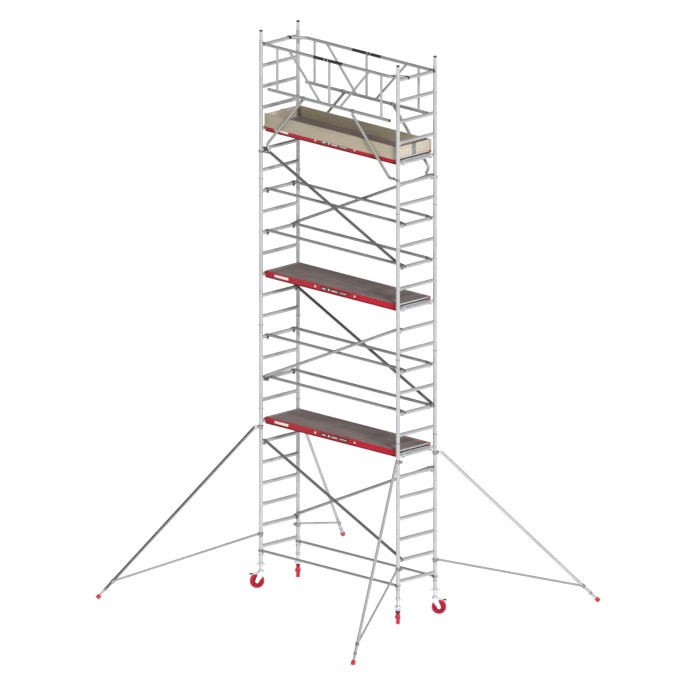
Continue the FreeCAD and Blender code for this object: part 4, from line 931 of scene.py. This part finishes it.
def buildLeg(corner, nut):
    sx, sy = corners[corner]
    x, y = sx * halfBay, sy * halfWidth
    spindle = Shell()
    ridges = np.arange(leg["low"] + 0.0145, leg["top"] - 0.004, leg["pitch"] / 4)
    radii = leg["radius"] - leg["thread"] * (0.5 + 0.5 * np.sin(2 * math.pi * ridges / leg["pitch"]))
    inner = leg["radius"] - leg["wall"]
    profile = [(leg["low"], inner), (leg["low"], leg["collar"] - 0.001), (leg["low"] + 0.001, leg["collar"]),
               (leg["low"] + 0.011, leg["collar"]), (leg["low"] + 0.012, leg["collar"] - 0.001)]
    profile += list(zip(ridges, radii)) + [(leg["top"] - 0.001, leg["radius"] - 0.001),
                                           (leg["top"], inner + 0.001), (leg["top"], inner)]
    upright = axes((x, y, 0), (0, 0, 1), (0, 1, 0))
    turned(spindle, profile, upright, 32, closed=True)
    low, top, r = leg["nutLow"], leg["nutLow"] + leg["nutTall"], leg["nutRadius"]
    body = [(low, leg["nutBore"]), (low, r - 0.002), (low + 0.002, r), (low + 0.022, r),
            (low + 0.025, r - 0.003), (top - 0.002, r - 0.003), (top - 0.0003, r - 0.005),
            (top - 0.0003, leg["nutBore"])]
    turned(nut, body, upright, 40, closed=True)
    for way in (-1, 1):
        wing = axes((x, y, low), (way * sx, way * sy, 0))
        outline = [(r - 0.006, 0.001), (leg["wing"] - 0.002, 0.004), (leg["wing"], 0.012),
                   (leg["wing"] - 0.004, leg["wingTall"]), (r - 0.006, leg["wingTall"] - 0.001)]
        slab(nut, roundedOutline(outline, 0.005, 4), -leg["wingHalf"], leg["wingHalf"], wing, 0.003)
    spindle.piece("leg_spindle_screw_" + corner, zincMetal, "leg_" + corner, "leg_spindle_" + corner,
                  slot="zinc_steel")


caster = {"turn": {"fl": -135, "fr": -45, "bl": 135, "br": 45}, "trail": 0.050, "wheel": 0.095,
          "half": 0.025, "tyreIn": 0.076, "edge": 0.006, "rimHalf": 0.021, "band": 0.009, "web": 0.008,
          "hub": 0.026, "hubHalf": 0.030, "bore": 0.0084, "armNear": 0.032, "armFar": 0.037,
          "yokeLow": 0.204, "yokeTop": 0.210, "head": 0.045, "stem": 0.01195, "stemTop": 0.290,
          "pin": (0.038, 0.197), "pedalReach": 0.149, "pedalDrop": 0.013, "pedalHalf": 0.031, "tipAt": 0.112}


def buildFork(corner, place):
    # two arms joined by a yoke, the swivel head and its stem, the pedal's pin and the wheel's axle
    fork = Shell()
    t, w = caster["trail"], caster["wheel"]
    px, pz = caster["pin"]
    arm = roundedOutline([(-0.042, 0.210), (-0.036, 0.178), (0.0255, 0.094), (0.029, 0.078), (0.042, 0.070),
                          (0.058, 0.070), (0.071, 0.078), (0.075, 0.095), (0.064, 0.125), (0.043, 0.180),
                          (0.042, 0.210)], 0.012, 4)
    for way in (-1, 1):
        a, b = sorted((way * caster["armNear"], way * caster["armFar"]))
        slab(fork, arm, a, b, place, 0.0012)
        end = axes(put([t, way * 0.0365, w], place), place[1][1] * way)
        turned(fork, [(0, 0.013), (0.005, 0.013), (0.006, 0.0115)], end, 6)
        turned(fork, [(0.005, 0.007), (0.009, 0.006), (0.010, 0.002)], end, 16)
    box(fork, (-0.042, -0.037, caster["yokeLow"]), (0.042, 0.037, caster["yokeTop"]), 0.002, place)
    upright = axes(place[0], (0, 0, 1), place[1][0])
    h = caster["head"]
    turned(fork, [(0.2098, h - 0.004), (0.2115, h), (0.2155, h), (0.2165, h - 0.003), (0.2185, h - 0.003),
                  (0.2195, h - 0.001), (0.2225, h - 0.002), (0.2245, h - 0.008), (0.2257, 0.028)], upright,
           48)
    bar(fork, put(np.array([(0, 0, 0.2255), (0, 0, 0.288), (0, 0, caster["stemTop"])]), place),
        [caster["stem"]] * 2 + [0.010], 20)
    bar(fork, put([(px, y, pz) for y in (-0.0375, 0.0375)], place), [0.003, 0.003], 14)
    for y in (-0.037, 0.037):
        head = axes(put(np.array([caster["pin"][0], y, caster["pin"][1]]), place),
                    place[1][1] * math.copysign(1, y))
        turned(fork, [(0, 0.006), (0.0018, 0.0055), (0.0026, 0.003)], head, 14)
    bar(fork, put([(t, y, w) for y in (-0.037, 0.037)], place), [0.008, 0.008], 20)
    fork.piece("caster_fork_frame_" + corner, whiteCoat, "caster_" + corner, "caster_fork_" + corner,
               slot="zinc_steel")


def buildWheel(corner, place):
    # a tyre with quarter-round shoulders, on a rim whose web is stiffened by ribs
    wheel, tyre, w = Shell(), Shell(), caster["wheel"]
    axle = axes(put([caster["trail"], 0, w], place), place[1][1])
    half, edge, tread = caster["half"], caster["edge"], []
    for a in np.radians((0, 22.5, 45, 67.5, 90)):
        tread.append((half - edge * (1 - math.cos(a)), w - edge * (1 - math.sin(a))))
    outside = tread + [(-x, r) for x, r in tread[::-1]]
    turned(tyre, [(half - 0.001, caster["tyreIn"])] + outside + [(-half + 0.001, caster["tyreIn"])], axle,
           56, closed=True)
    rim, web, hub, hubHalf = caster["rimHalf"], caster["web"], caster["hub"], caster["hubHalf"]
    inner = caster["tyreIn"] - caster["band"]
    side = [(rim, caster["tyreIn"]), (rim, inner + 0.001), (rim - 0.001, inner),
            (web + 0.003, inner - 0.002), (web, inner - 0.006), (web + 0.0015, 0.050), (web, hub + 0.006),
            (web + 0.004, hub + 0.001), (hubHalf - 0.0015, hub), (hubHalf, hub - 0.0015),
            (hubHalf, caster["bore"])]
    turned(wheel, side + [(-x, r) for x, r in side[::-1]], axle, 56, closed=True)
    for step in range(8):  # ribs between the hub and the rim
        a = step * math.pi / 4
        rib = axes(axle[0], place[1][0] * math.cos(a) + place[1][2] * math.sin(a), place[1][1])
        for way in (-1, 1):
            wedge = [(hub - 0.001, way * (web - 0.001)), (inner + 0.0005, way * (web - 0.001)),
                     (inner + 0.0005, way * 0.0155), (hub - 0.001, way * 0.024)]
            slab(wheel, wedge, -0.0025, 0.0025, rib, 0.001)
    tyre.piece("wheel_tyre_" + corner, crimson, "wheel_" + corner, "caster_wheel_" + corner,
               slot="wheel_polymer", smooth=40)
    wheel.piece("wheel_rim_" + corner, darkCrimson, "wheel_" + corner, "caster_wheel_" + corner,
                slot="wheel_polymer")


def buildPedal(corner, place):
    # a plate with folded sides that turns on the pin, and a ribbed black tip for the foot
    pedal, tip = Shell(), Shell()
    px, pz = caster["pin"]
    bar(pedal, put([(px, -0.030, pz), (px, 0.030, pz)], place), [0.005, 0.005], 20)
    reach, half, tipAt = caster["pedalReach"], caster["pedalHalf"], caster["tipAt"]
    slope = caster["pedalDrop"] / (reach - px)

    def line(x):  # the height of the pedal's middle line
        return pz - (x - px) * slope

    arms = [(x, line(x) + rise) for x, rise in ((px, -0.003), (tipAt, -0.003), (tipAt, 0.003), (px, 0.003))]
    slab(pedal, roundedOutline(arms, 0.001), -half, half, place, 0.0014)
    for way in (-1, 1):
        folds = ((px + 0.012, 0.001), (tipAt, 0.001), (tipAt, 0.0065), (px + 0.018, 0.0075))
        flange = [(x, line(x) + rise) for x, rise in folds]
        a, b = sorted((way * half, way * (half - 0.0025)))
        slab(pedal, flange, a, b, place, 0.0006)
    near, far = line(tipAt), line(reach)
    pad = [(tipAt - 0.004, near - 0.0045), (reach - 0.003, far - 0.0045), (reach, far),
           (reach - 0.003, far + 0.0055), (tipAt - 0.004, near + 0.0045)]
    slab(tip, roundedOutline(pad, 0.003), -half - 0.0005, half + 0.0005, place, 0.003)
    for x in np.linspace(tipAt + 0.006, reach - 0.007, 4):
        slab(tip, [(x - 0.0015, line(x)), (x + 0.0015, line(x)), (x + 0.001, line(x) + 0.0066),
                   (x - 0.001, line(x) + 0.0066)], -half + 0.004, half - 0.004, place, 0.0005)
    pedal.piece("pedal_arm_" + corner, whiteCoat, "pedal_" + corner, "brake_pedal_" + corner,
                slot="zinc_steel")
    tip.piece("pedal_tip_" + corner, blackPlastic, "pedal_" + corner, "brake_pedal_" + corner,
              slot="black_plastic")


nuts = Shell()
for corner, (side, across) in corners.items():
    buildLeg(corner, nuts)
    turn = math.radians(caster["turn"][corner])
    place = axes((side * halfBay, across * halfWidth, 0), (math.cos(turn), math.sin(turn), 0))
    buildFork(corner, place)
    buildWheel(corner, place)
    buildPedal(corner, place)
nuts.piece("leg_nut_castings", zincMetal, "root", "leg_nuts", slot="claw_metal")
print("legs and casters made")

# stabilizers
stay = {"angle": 60.4, "radius": 0.020, "wall": 0.0025, "elbow": (0.085, 2.160), "start": 0.045,
        "slope": 45.4, "bend": 0.045, "end": 2.100, "lowRadius": 0.014, "lowZ": 0.720, "lowStart": 0.049,
        "joint": 1.990, "clampIn": 0.0203, "clampOut": 0.0263, "clampWide": 0.044, "innerRadius": 0.017,
        "overlap": 0.600, "boot": 0.030, "bootLong": 0.055, "bootEnd": (2.2002, 0.01507), "floor": 0.008,
        "ringIn": 0.0257, "ringOut": 0.0327, "ringTall": 0.050, "slot": 0.003, "earIn": 0.0030,
        "earOut": 0.013, "earReach": 0.062, "earTall": 0.034, "lugEnd": 0.0448, "lugHalf": 0.015,
        "boltY": 0.04735, "boltHalf": 0.036, "boltRadius": 0.005, "wing": 0.0103}


def legAt(reach):  # a point (outwards, up) on the stabilizer leg's line
    x, z = stay["elbow"]
    return np.array([reach, 0.0, z - (reach - x) * math.tan(math.radians(stay["slope"]))])


def buildCoupler(shell, bolts, place, height):
    # a split clamp: a ring, two ears either side of the slot, a lug for the tube and a wing bolt
    upright = (place[0] + np.array([0, 0, height]), np.stack([place[1][0], place[1][2], place[1][1]]))
    tall, earTall = stay["ringTall"] / 2, stay["earTall"] / 2
    gap = math.degrees(math.asin(stay["slot"] / stay["ringIn"]))
    slab(shell, ringOutline(stay["ringIn"], stay["ringOut"], 90 + gap, 450 - gap, 48), -tall, tall, upright,
         0.0014)
    for way in (-1, 1):
        ear = [(way * stay["earIn"], 0.0285), (way * stay["earOut"], 0.0255),
               (way * stay["earOut"], stay["earReach"] - 0.004),
               (way * (stay["earOut"] - 0.003), stay["earReach"]), (way * stay["earIn"], stay["earReach"])]
        slab(shell, roundedOutline(ear, 0.002), -earTall, earTall, upright, 0.0016)
    lug = [(0.0300, -stay["lugHalf"]), (stay["lugEnd"], -stay["lugHalf"] + 0.001),
           (stay["lugEnd"], stay["lugHalf"] - 0.001), (0.0300, stay["lugHalf"])]
    slab(shell, roundedOutline(lug, 0.002), -earTall, earTall, upright, 0.0016)
    bolt = axes(put(np.array([0, stay["boltY"], height]), place), place[1][0])
    flat = (bolt[0], np.stack([bolt[1][0], bolt[1][2], bolt[1][1]]))
    r, half = stay["boltRadius"], stay["boltHalf"]
    bar(bolts, put([(-half, 0, 0), (half - 0.001, 0, 0), (half, 0, 0)], bolt), [r, r, r - 0.001], 16)
    turned(bolts, [(-stay["earOut"] - 0.0062, 0.0095), (-stay["earOut"] - 0.0002, 0.0095)], bolt, 6)
    turned(bolts, [(stay["earOut"] + 0.0002, 0.0100), (stay["earOut"] + 0.010, 0.0080)], bolt, 18)
    near, far = stay["earOut"] + 0.0005, stay["earOut"] + stay["wing"]
    wing = [(near, -0.0080), (far - 0.003, -0.0146), (far, -0.0140), (far - 0.001, -0.006),
            (far - 0.001, 0.006), (far, 0.0140), (far - 0.003, 0.0146), (near, 0.0080)]
    slab(bolts, roundedOutline(wing, 0.003), -0.003, 0.003, flat, 0.001)


def buildStabilizer(corner):
    sx, sy = corners[corner]
    angle = math.radians(stay["angle"])
    place = axes((sx * halfBay, sy * halfWidth, 0), (sx * math.cos(angle), sy * math.sin(angle), 0))
    tubes, low, fittings, bolts, inner, boot = (Shell() for _ in range(6))
    elbow = np.array([stay["elbow"][0], 0, stay["elbow"][1]])
    end = legAt(stay["end"])
    along = unit(end - elbow)
    pipe(tubes, put(bent([(stay["start"], 0, elbow[2]), elbow, end], stay["bend"], 10), place),
         stay["radius"], stay["wall"], 28)
    joint = legAt(stay["joint"])
    lowEnd = np.array([stay["lowStart"], 0, stay["lowZ"]])
    toward = unit(joint - lowEnd)
    pipe(low, put(np.array([lowEnd, joint - toward * stay["clampIn"]]), place), stay["lowRadius"], 0.002, 24)
    clamp = axes(put(joint - along * stay["clampWide"] / 2, place), along @ place[1], place[1][1])
    wide, out = stay["clampWide"], stay["clampOut"]
    turned(fittings, [(0, stay["clampIn"]), (0, out - 0.001), (0.001, out), (wide - 0.001, out),
                      (wide, out - 0.001), (wide, stay["clampIn"])], clamp, 36, closed=True)
    sleeve = axes(put(end - along * 0.030, place), along @ place[1], place[1][1])
    turned(fittings, [(0, 0.0202), (0, 0.0225), (0.024, 0.0232), (0.030, 0.0222), (0.030, 0.0202)], sleeve,
           32, closed=True)
    pin = put(joint - along * 0.10, place)
    for way in (-1, 1):
        turned(fittings, [(0.0195, 0.0055), (0.0225, 0.0050), (0.0240, 0.0030)],
               axes(pin, place[1][1] * way), 14)
    for height in (elbow[2], stay["lowZ"]):
        buildCoupler(fittings, bolts, place, height)
    bootEnd = np.array([stay["bootEnd"][0], 0, stay["bootEnd"][1]])
    top = bootEnd - along * stay["bootLong"]
    innerStart, innerEnd = end - along * stay["overlap"], bootEnd - along * stay["floor"]
    pipe(inner, put([innerStart, innerEnd], place), stay["innerRadius"], 0.0025, 24)
    r, length = stay["boot"], stay["bootLong"]
    profile = [(0, stay["innerRadius"] + 0.0002), (0, r - 0.004), (0.002, r - 0.002)]
    for ring in range(5):
        base = 0.006 + ring * 0.009
        profile += [(base, r - 0.002), (base + 0.001, r - 0.0002), (base + 0.005, r - 0.0002),
                    (base + 0.006, r - 0.002)]
    profile += [(length - 0.002, r - 0.001), (length, r - 0.003), (length, 0.0005)]
    lying = axes(put(top, place), along @ place[1], place[1][1])
    turned(boot, profile, lying, 48)
    for points in boot.points:  # the boot is pressed flat where it meets the ground
        points[:, 2] = np.maximum(points[:, 2], 0.0003)
    body = "stabilizer_" + corner
    # the front-left leg and the front-left and back-right struts take darker copies of the stay metal:
    # painted shade
    legMetal = shadedStay if corner == "fl" else stayMetal
    lowMetal = shadedStrutStay if corner in ("fl", "br") else stayMetal
    tubes.piece("stabilizer_leg_" + corner, legMetal, body, "stabilizer_tubes_" + corner,
                slot="rail_aluminium")
    low.piece("stabilizer_strut_" + corner, lowMetal, body, "stabilizer_tubes_" + corner,
              slot="rail_aluminium")
    fittings.piece("stabilizer_clamps_" + corner, darkSteel, body, "stabilizer_couplers_" + corner,
                   slot="clip_steel")
    bolts.piece("stabilizer_wing_bolts_" + corner, zincMetal, body, "stabilizer_couplers_" + corner,
                slot="zinc_steel")
    inner.piece("foot_inner_tube_" + corner, stayMetal, "foot_" + corner, "stabilizer_foot_" + corner,
                slot="rail_aluminium")
    boot.piece("foot_rubber_boot_" + corner, redRubber, "foot_" + corner, "stabilizer_foot_" + corner,
               slot="boot_rubber")


for corner in corners:
    buildStabilizer(corner)
print("stabilizers made")

# floor, light and camera
studio = {"azimuth": 45, "elevation": 15, "scale": 9.014, "height": 3.387, "away": 40.0, "sky": 0.22,
          "sun": 3.0, "sunAngle": 16, "sunFrom": (0.80, -0.36, 0.48), "floor": 0.25, "glow": 0.9}


def buildStudio():
    half = 60.0
    mesh = bpy.data.meshes.new("studio_floor")
    mesh.from_pydata([(-half, -half, 0), (half, -half, 0), (half, half, 0), (-half, half, 0)], [],
                     [(0, 1, 2, 3)])
    floor = bpy.data.objects.new("studio_floor", mesh)
    bpy.context.scene.collection.objects.link(floor)
    pale, tree, shader, place = newMaterial("pale_floor",
                                            {"Base Color": rgba((studio["floor"],) * 3), "Roughness": 0.9,
                                             "Emission Color": (1, 1, 1, 1),
                                             "Emission Strength": studio["glow"]})
    mesh.materials.append(pale)
    world = bpy.data.worlds.new("studio_sky")
    world.use_nodes = True
    sky = world.node_tree.nodes["Background"]
    sky.inputs["Color"].default_value = (1, 1, 1, 1)
    sky.inputs["Strength"].default_value = studio["sky"]
    bpy.context.scene.world = world
    sun = bpy.data.lights.new("studio_sun", "SUN")
    sun.energy, sun.angle = studio["sun"], math.radians(studio["sunAngle"])
    lamp = bpy.data.objects.new("studio_sun", sun)
    lamp.matrix_world = looking((0, 0, 0), studio["sunFrom"])
    bpy.context.scene.collection.objects.link(lamp)
    camera = bpy.data.cameras.new("main_camera")
    camera.type, camera.ortho_scale, camera.clip_end = "ORTHO", studio["scale"], 200.0
    view = bpy.data.objects.new("main_camera", camera)
    a, e = math.radians(studio["azimuth"]), math.radians(studio["elevation"])
    away = studio["away"] * np.array([math.cos(e) * math.cos(a), -math.cos(e) * math.sin(a), math.sin(e)])
    target = np.array([0, 0, studio["height"]])
    view.matrix_world = looking(target, target + away)
    bpy.context.scene.collection.objects.link(view)
    bpy.context.scene.camera = view


def looking(target, place):  # a matrix at a place whose -Z axis points at the target
    place = Vector(place)
    return Matrix.Translation(place) @ (Vector(target) - place).to_track_quat("-Z", "Y").to_matrix().to_4x4()


buildStudio()
bpy.context.scene.view_settings.view_transform = "Standard"
print("studio made")
